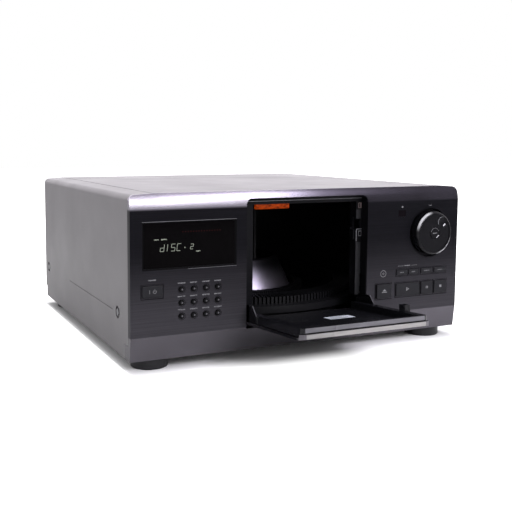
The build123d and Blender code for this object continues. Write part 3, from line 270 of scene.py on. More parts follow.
def fascia_finish(name, axis, creases, reflection_fade, stretch, lower_band_reflected, window=None):
    """Hairline middle, paling along an axis as painted reflection; smoother metallic bands beyond its two
    creases.

    Inside the window's rectangle, in X and Z, it is black like the window.
    """
    material, tree, shader, where = tree_of(name)
    hair = noise(tree, scaled(tree, where, stretch), 420.0, 3.0)
    broad = noise(tree, where, 9.0, 3.0)
    axes = split_axes(tree, where)
    low, high = creases
    zones = [step_between(tree, axes[axis], low, low - LOWER_BLEND),
             step_between(tree, axes[axis], high, high + UPPER_BLEND)]
    mask = math_node(tree, "MAXIMUM", *zones)
    face, face_reflection = [ramp(tree, hair, [(0.30, dark), (0.70, light)]) for dark, light in (FACE, FACE_REFLECTION)]
    # The face turns paler along the axis as a painted reflection.
    color = mixed(tree, step_between(tree, axes[axis], *reflection_fade), face, face_reflection)
    lower, upper, upper_highlight = [ramp(tree, broad, [(0.35, dark), (0.65, light)])
                                for dark, light in (lower_band_reflected, UPPER_BAND, UPPER_BAND_HIGHLIGHT)]
    # The upper band turns paler to the left as a painted highlight.
    upper = mixed(tree, step_between(tree, axes["X"], *UPPER_HIGHLIGHT_END), upper, upper_highlight)
    for zone, band in zip(zones, (lower, upper)):
        color = mixed(tree, zone, color, band)
    metal = math_node(tree, "ADD", math_node(tree, "MULTIPLY", mask, 0.55), 0.2)
    if window:
        left, right, bottom, top = window
        inside = 1.0
        for side, edge, out in (("X", left, -1), ("Z", bottom, -1), ("X", right, 1), ("Z", top, 1)):
            within = step_between(tree, axes[side], edge + out * BEVEL_EDGE, edge)
            inside = math_node(tree, "MULTIPLY", within, inside)
        color = mixed(tree, inside, color, WINDOW_BLACK)
        metal = math_node(tree, "MULTIPLY", metal, math_node(tree, "SUBTRACT", 1.0, inside))
    tree.links.new(color, shader.inputs["Base Color"])
    tree.links.new(metal, shader.inputs["Metallic"])
    gloss = tree.nodes.new("ShaderNodeMapRange")
    gloss.inputs["To Min"].default_value = 0.40
    gloss.inputs["To Max"].default_value = 0.26
    tree.links.new(mask, gloss.inputs["Value"])
    tree.links.new(gloss.outputs["Result"], shader.inputs["Roughness"])
    relief = math_node(tree, "MULTIPLY", math_node(tree, "SUBTRACT", 1.0, mask), 0.5)
    bumped(tree, shader, math_node(tree, "MULTIPLY", hair, relief), 0.2, 0.00003)
    shader.inputs["Specular IOR Level"].default_value = 0.03
    return material


def glowing(name, color, strength, base=(0.02, 0.02, 0.02), stretch=(1, 1, 1), floor=0.8, specular=0.2):
    """Lit marks of the display and lamp, with slightly uneven light."""
    material, tree, shader, where = tree_of(name)
    uneven = noise(tree, scaled(tree, where, stretch), 400.0, 2.0)
    dim = tuple(c * floor for c in color)
    tree.links.new(ramp(tree, uneven, [(0.3, dim), (0.7, color)]), shader.inputs["Emission Color"])
    shader.inputs["Base Color"].default_value = (*base, 1)
    shader.inputs["Emission Strength"].default_value = strength
    shader.inputs["Specular IOR Level"].default_value = specular
    shader.inputs["Roughness"].default_value = 0.4
    return material


def carousel_finish(name, centre, radius):
    """Black moulded ring, and inside a radius about the centre in X and Y a cone whose pale metallic tone is
    a painted reflection.
    """
    material, tree, shader, where = tree_of(name)
    axes = split_axes(tree, where)
    fine, broad = noise(tree, where, 600.0, 3.0), noise(tree, where, 14.0, 4.0)
    across, along = [math_node(tree, "SUBTRACT", axes[axis], at) for axis, at in zip("XY", centre)]
    away = distance_from(tree, across, along)
    cone = step_between(tree, away, radius + 0.001, radius)
    low = step_between(tree, axes["Z"], *CONE_REFLECTION_FADE)
    ring = ramp(tree, fine, [(0.3, (0.0035, 0.0035, 0.0042)), (0.7, (0.0060, 0.0060, 0.0075))])
    # The cone's pale metallic tone is a painted reflection of the light, dark toward its top.
    middle = ramp(tree, broad, [(0.35, (0.22, 0.203, 0.25)), (0.65, (0.36, 0.333, 0.415))])
    middle = mixed(tree, low, (0.02, 0.019, 0.023), middle)
    tree.links.new(mixed(tree, cone, ring, middle), shader.inputs["Base Color"])
    tree.links.new(math_node(tree, "MULTIPLY", cone, 0.9), shader.inputs["Metallic"])
    tree.links.new(spread(tree, broad, 0.36, 0.48), shader.inputs["Roughness"])
    bumped(tree, shader, fine, 0.05, 0.00004)
    shader.inputs["Specular IOR Level"].default_value = 0.22
    return material


def dish_finish(name, centre, pitch):
    """Round keys in a grid: dark dish with a paler spot as a painted glint, and a rim like the fascia."""
    material, tree, shader, where = tree_of(name)
    axes = split_axes(tree, where)
    grain = noise(tree, where, 1800.0, 3.0)
    offsets = []
    for axis, middle, step in zip("XZ", centre, pitch):
        # The large half number keeps the count positive and puts each key's middle at a half.
        count = math_node(tree, "DIVIDE", math_node(tree, "SUBTRACT", axes[axis], middle), step)
        part = math_node(tree, "FRACT", math_node(tree, "ADD", count, 100.5))
        offsets.append(math_node(tree, "MULTIPLY", math_node(tree, "SUBTRACT", part, 0.5), step))
    away = distance_from(tree, *offsets)
    from_glint = distance_from(tree, math_node(tree, "SUBTRACT", offsets[0], DISH_GLINT_ASIDE), offsets[1])
    rim = ramp(tree, grain, [(0.3, (0.013, 0.0125, 0.015)), (0.7, (0.019, 0.018, 0.021))])
    color = mixed(tree, step_between(tree, away, *DISH_RIM), (0.0015, 0.0015, 0.002), rim)
    # Painted glint a little right of each key's middle.
    color = mixed(tree, step_between(tree, from_glint, *DISH_GLINT), color, (0.085, 0.083, 0.09))
    tree.links.new(color, shader.inputs["Base Color"])
    tree.links.new(spread(tree, grain, 0.3, 0.36), shader.inputs["Roughness"])
    bumped(tree, shader, grain, 0.05, 0.00003)
    shader.inputs["Specular IOR Level"].default_value = 0.06
    return material


def highlight_rim_finish(name, centre):
    """Glossy rim of a dial, with painted highlights toward its upper left and lower right."""
    material, tree, shader, where = tree_of(name)
    axes = split_axes(tree, where)
    grain = noise(tree, where, 500.0, 3.0)
    across, up = [math_node(tree, "SUBTRACT", axes[axis], at) for axis, at in zip("XZ", centre)]
    diagonal = math_node(tree, "SUBTRACT", up, across)
    along = math_node(tree, "DIVIDE", diagonal, distance_from(tree, across, up))
    # Painted highlights where the rim faces the upper left and the lower right.
    lit = step_between(tree, math_node(tree, "ABSOLUTE", along), 1.08, 1.40)
    dark = ramp(tree, grain, [(0.3, (0.004, 0.004, 0.005)), (0.7, (0.007, 0.007, 0.008))])
    tree.links.new(mixed(tree, lit, dark, (0.40, 0.40, 0.42)), shader.inputs["Base Color"])
    tree.links.new(spread(tree, grain, 0.14, 0.2), shader.inputs["Roughness"])
    bumped(tree, shader, grain, 0.03, 0.00003)
    shader.inputs["Specular IOR Level"].default_value = 0.15
    return material


# ------------------------------------------------------------------ looks of the solid pieces
cover_paint = surface("cover_paint_look", (0.099, 0.094, 0.099), 0.44, vary=0.08, grain=2600, relief=0.3,
                      depth=0.00005, specular=0.37)
fascia_look = fascia_finish("fascia_look", "Z", (LOWER_CREASE, UPPER_CREASE), FACE_REFLECTION_FADE, (0.02, 1, 6),
                            LOWER_BAND_REFLECTED, WINDOW)
door_look = fascia_finish("door_look", "Y", (DOOR_CREASE, NOWHERE), DOOR_REFLECTION_FADE, (0.02, 6, 1), DOOR_BAND_REFLECTED)
rear_paint = surface("rear_paint_look", (0.05, 0.05, 0.053), 0.5, vary=0.12, grain=1600, relief=0.25)
foot_look = surface("foot_look", (0.008, 0.008, 0.0095), 0.42, vary=0.2, grain=700, relief=0.1, specular=0.25)
socket_look = surface("socket_look", (0.02, 0.02, 0.022), 0.35, vary=0.2)
screw_look = surface("screw_look", (0.09, 0.09, 0.10), 0.32, metallic=0.9, vary=0.2, grain=1500)
bay_look = surface("bay_look", (0.0035, 0.0035, 0.0045), 0.42, vary=0.15, grain=2200, relief=0.04,
                   rough_vary=0.04, specular=0.06)
deck_look = surface("deck_look", (0.006, 0.006, 0.0075), 0.5, vary=0.3, grain=500, specular=0.2)
tray_look = surface("tray_look", (0.005, 0.005, 0.0065), 0.24, vary=0.25, grain=900, relief=0.06,
                    specular=0.18)
mech_look = surface("mech_look", (0.008, 0.008, 0.009), 0.5, vary=0.2, specular=0.15)
gear_look = surface("gear_look", (0.62, 0.60, 0.55), 0.45, vary=0.08, grain=700)
board_look = surface("board_look", (0.02, 0.10, 0.045), 0.4, vary=0.25, grain=300)
motor_look = surface("motor_look", (0.55, 0.55, 0.56), 0.3, metallic=1.0, vary=0.1, grain=900,
                     stretch=(1, 1, 8))
shaft_look = surface("shaft_look", (0.75, 0.75, 0.76), 0.16, metallic=1.0, vary=0.06)
core_look = surface("core_look", (0.20, 0.19, 0.185), 0.5, metallic=0.6, vary=0.25, grain=900,
                    stretch=(1, 12, 1))
belt_look = surface("belt_look", (0.014, 0.014, 0.014), 0.7, vary=0.2)
arm_look = surface("arm_look", (0.10, 0.10, 0.11), 0.12, metallic=1.0, vary=0.5, grain=300, relief=0.4,
                   depth=0.0002)
dial_look = surface("dial_look", (0.004, 0.004, 0.005), 0.22, vary=0.15, grain=1500, relief=0.03,
                    specular=0.06)
key_look = surface("key_look", (0.011, 0.011, 0.013), 0.33, metallic=0.1, vary=0.15, grain=1800, relief=0.08,
                   specular=0.10)
lens_look = surface("smoked_lens_look", (0.0010, 0.0008, 0.0010), 0.05, vary=0.3, grain=60, relief=0.0,
                    rough_vary=0.01, specular=0.015)
sensor_look = surface("sensor_look", (0.0025, 0.0015, 0.0025), 0.1, vary=0.3, relief=0.02, specular=0.04)
glass_look = surface("display_glass_look", (0.005, 0.004, 0.005), 0.35, vary=0.5, grain=200, relief=0.02,
                     specular=0.1)
amber_look = glowing("amber_look", (0.60, 0.065, 0.002), 0.8, (0.02, 0.003, 0.0), stretch=(0.35, 1, 1),
                     floor=0.10, specular=0.05)

first_button, last_button = centre_of("small_button_1"), centre_of("small_button_12")
button_pitch = (abs(last_button[0] - first_button[0]) / (BUTTON_COLUMNS - 1),
                abs(last_button[2] - first_button[2]) / (BUTTON_ROWS - 1))
dish_look = dish_finish("dish_look", (first_button[0], first_button[2]), button_pitch)
carousel_look = carousel_finish("carousel_look", centre_of("carousel")[:2], CONE_RADIUS)

looks = {
    "top_cover": cover_paint, "chassis": cover_paint, "rear_panel": rear_paint, "feet": foot_look,
    "rear_jacks": socket_look, "power_inlet": socket_look, "case_screws": screw_look, "fascia": fascia_look,
    "display_lens": lens_look, "sensor_window": sensor_look, "display_module": glass_look,
    "control_board": board_look, "dial_board": board_look, "main_board": board_look, "bay_frame": bay_look,
    "bay_lamp": amber_look, "mechanism_base": deck_look, "carousel": carousel_look, "drive_belt": belt_look,
    "drive_motors": motor_look, "spindle_motor": motor_look, "guide_rods": shaft_look,
    "mech_frame": mech_look, "disc_table": mech_look, "pickup_sled": mech_look, "sled_gear": gear_look,
    "clamp_arm": mech_look, "clamp_puck": mech_look, "loading_arm": mech_look, "cam_gear": gear_look,
    "loading_pinion": gear_look, "pulley_gear": gear_look, "motor_pulley": gear_look,
    "power_transformer": core_look, "door_panel": door_look, "door_tray": tray_look, "hinge_arms": arm_look,
    "jog_dial": dial_look, "enter_button": dial_look,
}
for name, node in nodes.items():
    look = looks.get(name, dish_look if name.startswith("small_button") else key_look)
    node.data.materials.clear()
    node.data.materials.append(look)

# ------------------------------------------------------------------ looks of the thin marks
lit_look = glowing("lit_segment_look", (0.66, 0.72, 0.60), 0.62)
red_look = glowing("red_segment_look", (0.30, 0.01, 0.015), 0.05, (0.004, 0.002, 0.002), specular=0.02)
# Pale lines on edges: painted highlights where the edges catch the light.
edge_highlight_look = surface("edge_highlight_look", (0.11, 0.11, 0.12), 0.35, vary=0.2, relief=0.02)
print_look = surface("print_look", (0.15, 0.15, 0.16), 0.5, vary=0.15, relief=0.02)
faint_print = surface("faint_print_look", (0.10, 0.10, 0.107), 0.5, vary=0.15, relief=0.02)
label_look = surface("label_look", (0.46, 0.49, 0.56), 0.5, vary=0.04, relief=0.03)
glint_look = surface("glint_look", (0.42, 0.42, 0.45), 0.3, vary=0.2, relief=0.02)
# Pale lines for the tray's and the door's top edges: painted highlights.
tray_edge_highlight_look = surface("tray_edge_highlight_look", (0.085, 0.083, 0.095), 0.3, vary=0.35, grain=300, relief=0.02,
                         stretch=(0.1, 1, 1))
door_edge_highlight_look = surface("door_edge_highlight_look", (0.20, 0.193, 0.19), 0.3, vary=0.3, grain=300, relief=0.02,
                         stretch=(0.1, 1, 1))
gap_look = surface("gap_look", (0.0015, 0.0015, 0.002), 0.5, vary=0.2, relief=0.02, specular=0.02)
slot_look = surface("slot_look", (0.11, 0.085, 0.085), 0.4, vary=0.3, relief=0.02)
strip_look = surface("jamb_strip_look", (0.017, 0.017, 0.019), 0.4, vary=0.3, grain=500, relief=0.03,
                     specular=0.15)
dial_middle = centre_of("jog_dial")
# The dial's rim carries painted highlights at its upper left and lower right.
dial_rim_highlight_look = highlight_rim_finish("dial_rim_highlight_look", (dial_middle[0], dial_middle[2]))


# ------------------------------------------------------------------ mesh helpers
def mesh_piece(name, vertices, faces, look, body):
    """New mesh object that rides on a body."""
    data = bpy.data.meshes.new(name)
    data.from_pydata([tuple(v) for v in vertices], [], faces)
    data.update()
    data.materials.append(look)
    piece = bpy.data.objects.new(name, data)
    bpy.context.scene.collection.objects.link(piece)
    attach(piece, body)
    return piece


def plates(name, outlines, place, normal, look, body, thick=THIN):
    """Thin prisms from outlines. place maps an outline's point to the surface, normal points out of it."""
    vertices, faces = [], []
    out = Vector(normal) * (thick * MM)
    for outline in outlines:
        base = len(vertices)
        count = len(outline)
        low = [Vector(place(*p)) for p in outline]
        vertices += low + [p + out for p in low]
        turn = (low[1] - low[0]).cross(low[2] - low[1]).dot(out)
        order = list(range(count)) if turn > 0 else list(range(count - 1, -1, -1))
        faces.append([base + count + i for i in order])
        faces.append([base + i for i in reversed(order)])
        for k in range(count):
            i, j = order[k], order[(k + 1) % count]
            faces.append([base + i, base + j, base + count + j, base + count + i])
    return mesh_piece(name, vertices, faces, look, body)


def front_plates(name, outlines, depth, look, body="cabinet", thick=THIN):
    """Thin prisms that face the front, on a plane that lies a depth behind the fascia's face."""
    def place(x, z):
        return (x * MM, FRONT + depth * MM, z * MM)

    return plates(name, outlines, place, OUTWARD, look, body, thick)


def face_depth(name):
    """How far a node's front lies behind the fascia's face, below zero where it stands proud."""
    return (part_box(name)[0].y - FRONT) / MM


def lathe(name, centre, profile, look, body, count=96):
    """Ring turned about an axis along Y through centre. The profile is (along the axis, radius), closed."""
    axis = Vector((0, 1, 0))
    side = axis.orthogonal().normalized()
    up = axis.cross(side)
    vertices, faces = [], []
    for k in range(count):
        turn = 2 * math.pi * k / count
        out = side * math.cos(turn) + up * math.sin(turn)
        vertices += [Vector(centre) + axis * along + out * radius for along, radius in profile]
    size = len(profile)
    for k in range(count):
        for i in range(size):
            here, ahead = k * size, ((k + 1) % count) * size
            faces.append([here + i, here + (i + 1) % size, ahead + (i + 1) % size, ahead + i])
    piece = mesh_piece(name, vertices, faces, look, body)
    for polygon in piece.data.polygons:
        polygon.use_smooth = True
    return piece


def bar(x0, x1, z0, z1):
    """Rectangle outline."""
    return [(x0, z0), (x1, z0), (x1, z1), (x0, z1)]


def arc_points(cx, cz, radius, start, end, count):
    """Points on an arc from one angle to another, in degrees."""
    turns = [math.radians(start + (end - start) * k / count) for k in range(count + 1)]
    return [(cx + radius * math.cos(turn), cz + radius * math.sin(turn)) for turn in turns]


def ring_outlines(cx, cz, outer, inner, start=0.0, end=360.0, count=32):
    """Ring or arc as a row of small four-sided outlines."""
    big = arc_points(cx, cz, outer, start, end, count)
    small = arc_points(cx, cz, inner, start, end, count)
    return [[big[k], big[k + 1], small[k + 1], small[k]] for k in range(count)]


def caption(cx, cz, width, height, seed):
    """Row of short strokes where the real machine has a small caption."""
    pick = random.Random(seed)
    outlines, x = [], cx - width / 2
    while x < cx + width / 2 - 0.4:
        step = pick.choice((0.35, 0.6, 0.85))
        low = cz - height / 2 + pick.choice((0, 0, height * 0.35))
        outlines.append(bar(x, min(x + step, cx + width / 2), low, cz + height / 2))
        x += step + 0.32
    return outlines


# ------------------------------------------------------------------ display
SEGMENTS = {"d": "bcdeg", "I": "ef", "S": "acdfg", "C": "adef", "2": "abdeg"}


def digit(char, x, z, width, height, line, slant=0.12):
    """Seven-segment character as slanted bars."""
    half = height / 2
    bars = {
        "a": bar(line * 0.7, width - line * 0.7, height - line, height),
        "g": bar(line * 0.7, width - line * 0.7, half - line / 2, half + line / 2),
        "d": bar(line * 0.7, width - line * 0.7, 0, line),
        "f": bar(0, line, half + line * 0.3, height - line * 0.5),
        "b": bar(width - line, width, half + line * 0.3, height - line * 0.5),
        "e": bar(0, line, line * 0.5, half - line * 0.3),
        "c": bar(width - line, width, line * 0.5, half - line * 0.3),
    }
    return [[(x + u + slant * v, z + v) for u, v in bars[s]] for s in SEGMENTS[char]]


display_depth = face_depth("display_lens")
digits = []
for char, x in (("d", -181.5), ("I", -173.6), ("S", -169.2), ("C", -162.6)):
    digits += digit(char, x, 127.8, 4.6, 7.8, 0.43)
digits += [bar(-153.6, -152.6, 130.6, 131.6)]
digits += digit("2", -147.0, 128.8, 3.6, 5.8, 0.42)
front_plates("display_digits", digits, display_depth, lit_look)
words = []
for x, z, width, height, seed in ((-185.4, 140.6, 5.0, 1.2, 4), (-176.4, 140.6, 7.0, 1.3, 5),
                                  (-137.6, 126.4, 5.0, 1.2, 9)):
    words += caption(x, z, width, height, seed)
front_plates("display_words", words, display_depth, lit_look)
scale_marks = [bar(-156 + k * 3.1, -154.6 + k * 3.1, 147.3, 148.6) for k in range(15)]
front_plates("display_scale", scale_marks, display_depth, red_look)
# Pale lines on the window's top and bottom edges: painted highlights.
window_edge_highlights = [bar(-201.6, -92.4, 159.5, 159.9), bar(-150.0, -92.2, 108.1, 108.4)]
front_plates("window_edge_highlights", window_edge_highlights, 0, edge_highlight_look)

# ------------------------------------------------------------------ captions and signs on the front
captions = caption(-190.7, 98.4, 9.0, 1.3, 1)
for row in range(BUTTON_ROWS):
    for column in range(BUTTON_COLUMNS):
        x = FIRST_BUTTON[0] + BUTTON_PITCH[0] * column
        z = FIRST_BUTTON[1] - BUTTON_PITCH[1] * row + CAPTION_RISE
        captions += caption(x, z, 8.6, 1.2, 20 + BUTTON_COLUMNS * row + column)
captions += caption(172.0, 165.9, 5.0, 1.1, 2) + caption(139.5, 93.4, 9.0, 1.1, 3)
captions += [bar(125.0, 133.5, 93.2, 93.5), bar(145.5, 154.0, 93.2, 93.5)]
front_plates("front_captions", captions, 0, print_look)
disc_sign = ring_outlines(104.0, 85.5, 4.2, 3.5) + ring_outlines(104.0, 85.5, 1.3, 0.7, count=16)
front_plates("disc_symbol", disc_sign, 0, faint_print)
front_plates("standby_lamp", ring_outlines(129.7, 165.2, 1.1, 0.01, count=16), 0, print_look, thick=0.3)

gaps = []
for key in ("power_button", "open_close_button", "play_button", "pause_button", "stop_button",
            "slim_button_1", "slim_button_2", "slim_button_3", "slim_button_4"):
    low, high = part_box(key)
    x0, x1, z0, z1 = low.x / MM - KEY_GAP, high.x / MM + KEY_GAP, low.z / MM - KEY_GAP, high.z / MM + KEY_GAP
    wide = SLIM_GAP_WIDTH if key.startswith("slim") else GAP_WIDTH
    top = z1 + wide * GAP_TOP_SHARE
    gaps += [bar(x0 - wide, x0, z0 - wide, top), bar(x1, x1 + wide, z0 - wide, top),
             bar(x0, x1, z0 - wide, z0), bar(x0, x1, z1, top)]
front_plates("key_gaps", gaps, 0, gap_look)


def on_key(name, outlines, look=print_look, label="symbol"):
    """Sign printed on a key's face."""
    front_plates(f"{name}_{label}", outlines, face_depth(name), look, name + "_body")


triangle = [(137.3, 62.6), (137.3, 67.0), (141.6, 64.8)]
inner = [(138.0, 63.7), (138.0, 65.9), (140.2, 64.8)]
on_key("play_button", [[triangle[k], triangle[(k + 1) % 3], inner[(k + 1) % 3], inner[k]] for k in range(3)])
on_key("pause_button", [bar(167.2, 168.2, 63.4, 66.4), bar(169.2, 170.2, 63.4, 66.4)])
on_key("stop_button", [bar(188.0, 191.2, 63.4, 66.4)])
on_key("open_close_button", [bar(100.6, 108.0, 63.0, 63.8), [(101.6, 64.6), (107.0, 64.6), (104.3, 67.0)]])
power = [bar(-194.2, -193.6, 84.4, 88.2)] + ring_outlines(-188.2, 86.3, 2.0, 1.5, -235, 55, 20)
power += [bar(-188.45, -187.95, 86.2, 89.0)]
on_key("power_button", power, faint_print)
for number, x, width in ((1, 131.0, 5.6), (2, 148.2, 5.6), (3, 168.2, 8.0), (4, 189.0, 7.0)):
    on_key(f"slim_button_{number}", caption(x, 85.5, width, 1.2, 60 + number), faint_print, "caption")
enter_depth = face_depth("enter_button")
front_plates("enter_caption", caption(172.0, 132.5, 6.0, 1.2, 77), enter_depth, print_look,
             "enter_button_body")

# ------------------------------------------------------------------ loading bay
def jamb_plates(name, outlines, look, thick=THIN, lies_on=0.0):
    """Thin prisms on the bay's jambs, or on a plate there of the thickness that they lie on."""
    front_plates(name, outlines, JAMB_DEPTH - lies_on, look, thick=thick)


# Pale line along the bay's top edge: a painted highlight.
jamb_plates("bay_top_highlight", [bar(-78.5, 79.5, 176.5, 177.1)], edge_highlight_look)
jamb_plates("jamb_strip", [bar(72.1, 78.6, 60.5, 124.0), bar(72.1, 78.6, 152.0, 163.0)], strip_look)
# Bracket on the jamb drawn as pale bars, which are painted highlights on its edges, round a dark hole.
bracket = [bar(72.1, 80.3, 139.2, 140.0), bar(72.1, 73.0, 125.0, 139.2), bar(75.6, 79.6, 131.0, 137.6)]
jamb_plates("jamb_bracket", bracket, edge_highlight_look, BRACKET_THICK)
jamb_plates("jamb_bracket_core", [bar(76.2, 79.0, 131.8, 136.6)], gap_look, lies_on=BRACKET_THICK)
jamb_plates("jamb_slot", [bar(74.9, 79.4, 164.6, 171.2)], slot_look)
jamb_plates("jamb_slot_core", [bar(75.9, 77.4, 165.4, 170.4)], gap_look, lies_on=THIN)


# ------------------------------------------------------------------ door
def door_point(x, z, lift=0.0):
    """Point on the open door's inner floor: x across and z up the closed door, in millimetres."""
    turn = math.radians(DOOR_ANGLE)
    across, up = TRAY_FLOOR + lift - HINGE_DEPTH, z - HINGE_HEIGHT
    y = HINGE_DEPTH + across * math.cos(turn) - up * math.sin(turn)
    return (x * MM, FRONT + y * MM, (HINGE_HEIGHT + across * math.sin(turn) + up * math.cos(turn)) * MM)


door_out = (Vector(door_point(0, 100, 1)) - Vector(door_point(0, 100))).normalized()
door_up = (Vector(door_point(0, 101)) - Vector(door_point(0, 100))).normalized()
plates("door_label", [bar(2.0, 34.5, 92.5, 107.5)], door_point, door_out, label_look, "door",
       LABEL_THICK)
label_lines = [bar(4.0, 26.0, 104.0, 105.6), bar(4.0, 29.0, 101.0, 102.2), bar(4.0, 22.0, 98.6, 99.4),
               bar(4.0, 27.0, 96.2, 96.9)]
plates("door_label_lines", label_lines, lambda x, z: door_point(x, z, LABEL_THICK), door_out, faint_print,
       "door")
# Pale lines along the tray's and the door's top edges: painted highlights on those edges.
plates("tray_edge_highlight", [bar(-EDGE_HIGHLIGHT_HALF, EDGE_HIGHLIGHT_HALF, 3.0, 7.5)],
       lambda x, lift: door_point(x, TRAY_TOP, lift), door_up, tray_edge_highlight_look, "door")
plates("door_edge_highlight", [bar(-EDGE_HIGHLIGHT_HALF, EDGE_HIGHLIGHT_HALF, -2.9, 1.5)],
       lambda x, lift: door_point(x, DOOR_TOP, lift), door_up, door_edge_highlight_look, "door")

# ------------------------------------------------------------------ dial
dial_low, dial_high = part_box("jog_dial")
dial_centre = (dial_middle[0], dial_low.y, dial_middle[2])
dial_x, dial_z = dial_middle[0] / MM, dial_middle[2] / MM
dial_radius = (dial_high.x - dial_low.x) / 2
bevel = DIAL_BEVEL * MM
lathe("dial_rim", dial_centre,
      [(-0.00005, dial_radius - bevel - 0.0004), (0.0002, dial_radius - bevel + 0.0002),
       (bevel - 0.0004, dial_radius - 0.0002), (bevel + 0.0002, dial_radius + 0.00005),
       (bevel + 0.0001, dial_radius - 0.0004), (0.0006, dial_radius - bevel - 0.0004)],
      dial_rim_highlight_look, "jog_dial_body")
turn = math.radians(DIMPLE_ANGLE)
dimple = (dial_x + DIMPLE_REACH * math.cos(turn), dial_z + DIMPLE_REACH * math.sin(turn))
dial_face = face_depth("jog_dial") + DIAL_FACE_DEPTH
# Pale arc on the dimple's upper left edge: a painted highlight.
front_plates("dimple_edge_highlight", ring_outlines(*dimple, 7.1, 6.5, 55, 200, 16), dial_face, edge_highlight_look,
             "jog_dial_body")
front_plates("dimple_glint", ring_outlines(*dimple, 5.4, 3.6, -75, -25, 8), dial_face + DIMPLE_HOLLOW,
             glint_look, "jog_dial_body")
enter_low, enter_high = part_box("enter_button")
enter_radius = (enter_high.x - enter_low.x) / 2
lathe("enter_ring", (dial_centre[0], dial_low.y + DIAL_FACE_DEPTH * MM, dial_centre[2]),
      [(-0.0002, enter_radius + 0.0005), (-0.0002, enter_radius + 0.0011), (0.0003, enter_radius + 0.0013),
       (0.0003, enter_radius + 0.0004)],
      dial_look, "jog_dial_body")
# Glint at lower right and pale upper edge of the enter key: painted highlights.
for name, look, outer, inner, start, end, count in (("enter_glint", glint_look, 0.3, 1.1, -70, -25, 8),
                                                    ("enter_edge_highlight", edge_highlight_look, 0.2, 0.6, 20, 165, 16)):
    edge = enter_radius / MM
    outlines = ring_outlines(dial_x, dial_z, edge - outer, edge - inner, start, end, count)
    front_plates(name, outlines, enter_depth, look, "enter_button_body")

# ------------------------------------------------------------------ floor
scene = bpy.context.scene
scene.view_settings.view_transform = "Standard"


def pale_ground(name, color, reach):
    """Pale ground: plain white to the camera beyond a reach from the machine, with shadows closer by."""
    material, tree, shader, where = tree_of(name)
    uneven = noise(tree, where, 3.0, 2.0)
    dim = tuple(c * 0.99 for c in color)
    tree.links.new(ramp(tree, uneven, [(0.3, dim), (0.7, color)]), shader.inputs["Base Color"])
    shader.inputs["Roughness"].default_value = 0.9
    shader.inputs["Specular IOR Level"].default_value = 0.0
    axes = split_axes(tree, where)
    low, high = cad_bounds
    left = math_node(tree, "MULTIPLY", math_node(tree, "SUBTRACT", low[0], axes["X"]), LEFT_FALL)
    across = math_node(tree, "MAXIMUM", left, math_node(tree, "SUBTRACT", axes["X"], high[0]))
    ahead = math_node(tree, "SUBTRACT", FRONT, axes["Y"])
    behind = math_node(tree, "SUBTRACT", axes["Y"], REAR)
    away = math_node(tree, "MAXIMUM", across, math_node(tree, "MAXIMUM", ahead, behind))
    glow = step_between(tree, away, -0.004, reach)
    light_path = tree.nodes.new("ShaderNodeLightPath")
    tree.links.new(math_node(tree, "MULTIPLY", glow, light_path.outputs["Is Camera Ray"]),
                   shader.inputs["Emission Strength"])
    shader.inputs["Emission Color"].default_value = (1, 1, 1, 1)
    return material


floor_data = bpy.data.meshes.new("floor")
floor_data.from_pydata([(-6, -6, 0), (6, -6, 0), (6, 6, 0), (-6, 6, 0)], [], [(0, 1, 2, 3)])
floor_data.materials.append(pale_ground("floor_look", (0.90, 0.90, 0.91), SHADOW_REACH))
floor = bpy.data.objects.new("floor", floor_data)
scene.collection.objects.link(floor)

# ------------------------------------------------------------------ lights
world = bpy.data.worlds.new("studio")
scene.world = world
world.use_nodes = True
world_tree = world.node_tree


def backdrop(color, strength, node=None):
    """Background shader of the world, new unless one is given."""
    node = node or world_tree.nodes.new("ShaderNodeBackground")
    node.inputs["Color"].default_value = (*color, 1)
    node.inputs["Strength"].default_value = strength
    return node


def choose(factor, otherwise, chosen):
    """World shader that is the chosen one where the factor is 1."""
    node = world_tree.nodes.new("ShaderNodeMixShader")
    world_tree.links.new(factor, node.inputs["Fac"])
    world_tree.links.new(otherwise, node.inputs[1])
    world_tree.links.new(chosen, node.inputs[2])
    return node.outputs["Shader"]


diffuse = backdrop((1.0, 0.99, 1.0), 0.75, world_tree.nodes["Background"])
seen = backdrop((1, 1, 1), 1.0)
mirrored = backdrop((0.985, 0.945, 1.0), 1.0)

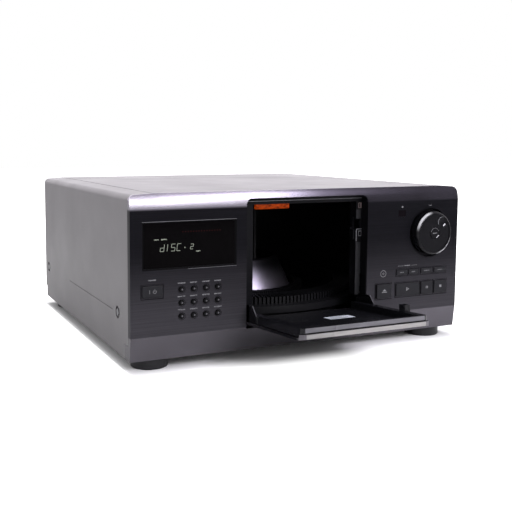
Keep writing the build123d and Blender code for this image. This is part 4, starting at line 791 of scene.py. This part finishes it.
# What surfaces mirror is brighter where it lies upward and behind the machine.
toward = world_tree.nodes.new("ShaderNodeTexCoord")
direction = split_axes(world_tree, toward.outputs["Generated"])
upward = step_between(world_tree, direction["Z"], 0.0, 0.10)
behind = step_between(world_tree, direction["Y"], 0.0, 0.4)
sky = math_node(world_tree, "MULTIPLY", math_node(world_tree, "MULTIPLY", upward, behind), 1.3)
world_tree.links.new(math_node(world_tree, "ADD", sky, 1.0), mirrored.inputs["Strength"])
path = world_tree.nodes.new("ShaderNodeLightPath")
lit = choose(path.outputs["Is Glossy Ray"], diffuse.outputs["Background"], mirrored.outputs["Background"])
shown = choose(path.outputs["Is Camera Ray"], lit, seen.outputs["Background"])
world_tree.links.new(shown, world_tree.nodes["World Output"].inputs["Surface"])


def softbox(name, place, target, width, height, power, color=(1, 1, 1)):
    """Rectangular studio light aimed at a point."""
    light = bpy.data.lights.new(name, "AREA")
    light.shape = "RECTANGLE"
    light.size = width
    light.size_y = height
    light.energy = power
    light.color = color
    lamp_object = bpy.data.objects.new(name, light)
    lamp_object.location = place
    lamp_object.rotation_euler = (Vector(target) - Vector(place)).to_track_quat("-Z", "Y").to_euler()
    scene.collection.objects.link(lamp_object)


softbox("left_softbox", (-1.9, -0.5, 0.9), (0, 0, 0.1), 1.2, 1.2, 1.5)
softbox("top_softbox", (0.1, 0.3, 2.2), (0, 0.1, 0.1), 1.8, 1.8, 38)
softbox("front_softbox", (0.72, FRONT - 1.2, 1.04), (0.0, FRONT + 0.13, 0.07), 0.50, 0.30, 12,
        (0.93, 0.88, 1.0))
softbox("band_softbox", (0.29, FRONT - 1.24, 0.76), (-0.14, FRONT, 0.18), 0.50, 0.36, 8)

# ------------------------------------------------------------------ camera
camera_data = bpy.data.cameras.new("camera")
camera = bpy.data.objects.new("camera", camera_data)
scene.collection.objects.link(camera)
scene.camera = camera
camera_data.sensor_width = SENSOR
camera_data.lens = FOCAL_LENGTH * SENSOR / IMAGE_SIZE
camera_data.shift_x = (IMAGE_SIZE / 2 - PRINCIPAL[0]) / IMAGE_SIZE
camera_data.shift_y = (PRINCIPAL[1] - IMAGE_SIZE / 2) / IMAGE_SIZE
camera_data.clip_start = 0.01
camera.location = CAMERA_PLACE
camera.rotation_euler = [math.radians(angle) for angle in (90 - CAMERA_DOWN, CAMERA_ROLL, CAMERA_TURN)]

low, high = cad_bounds
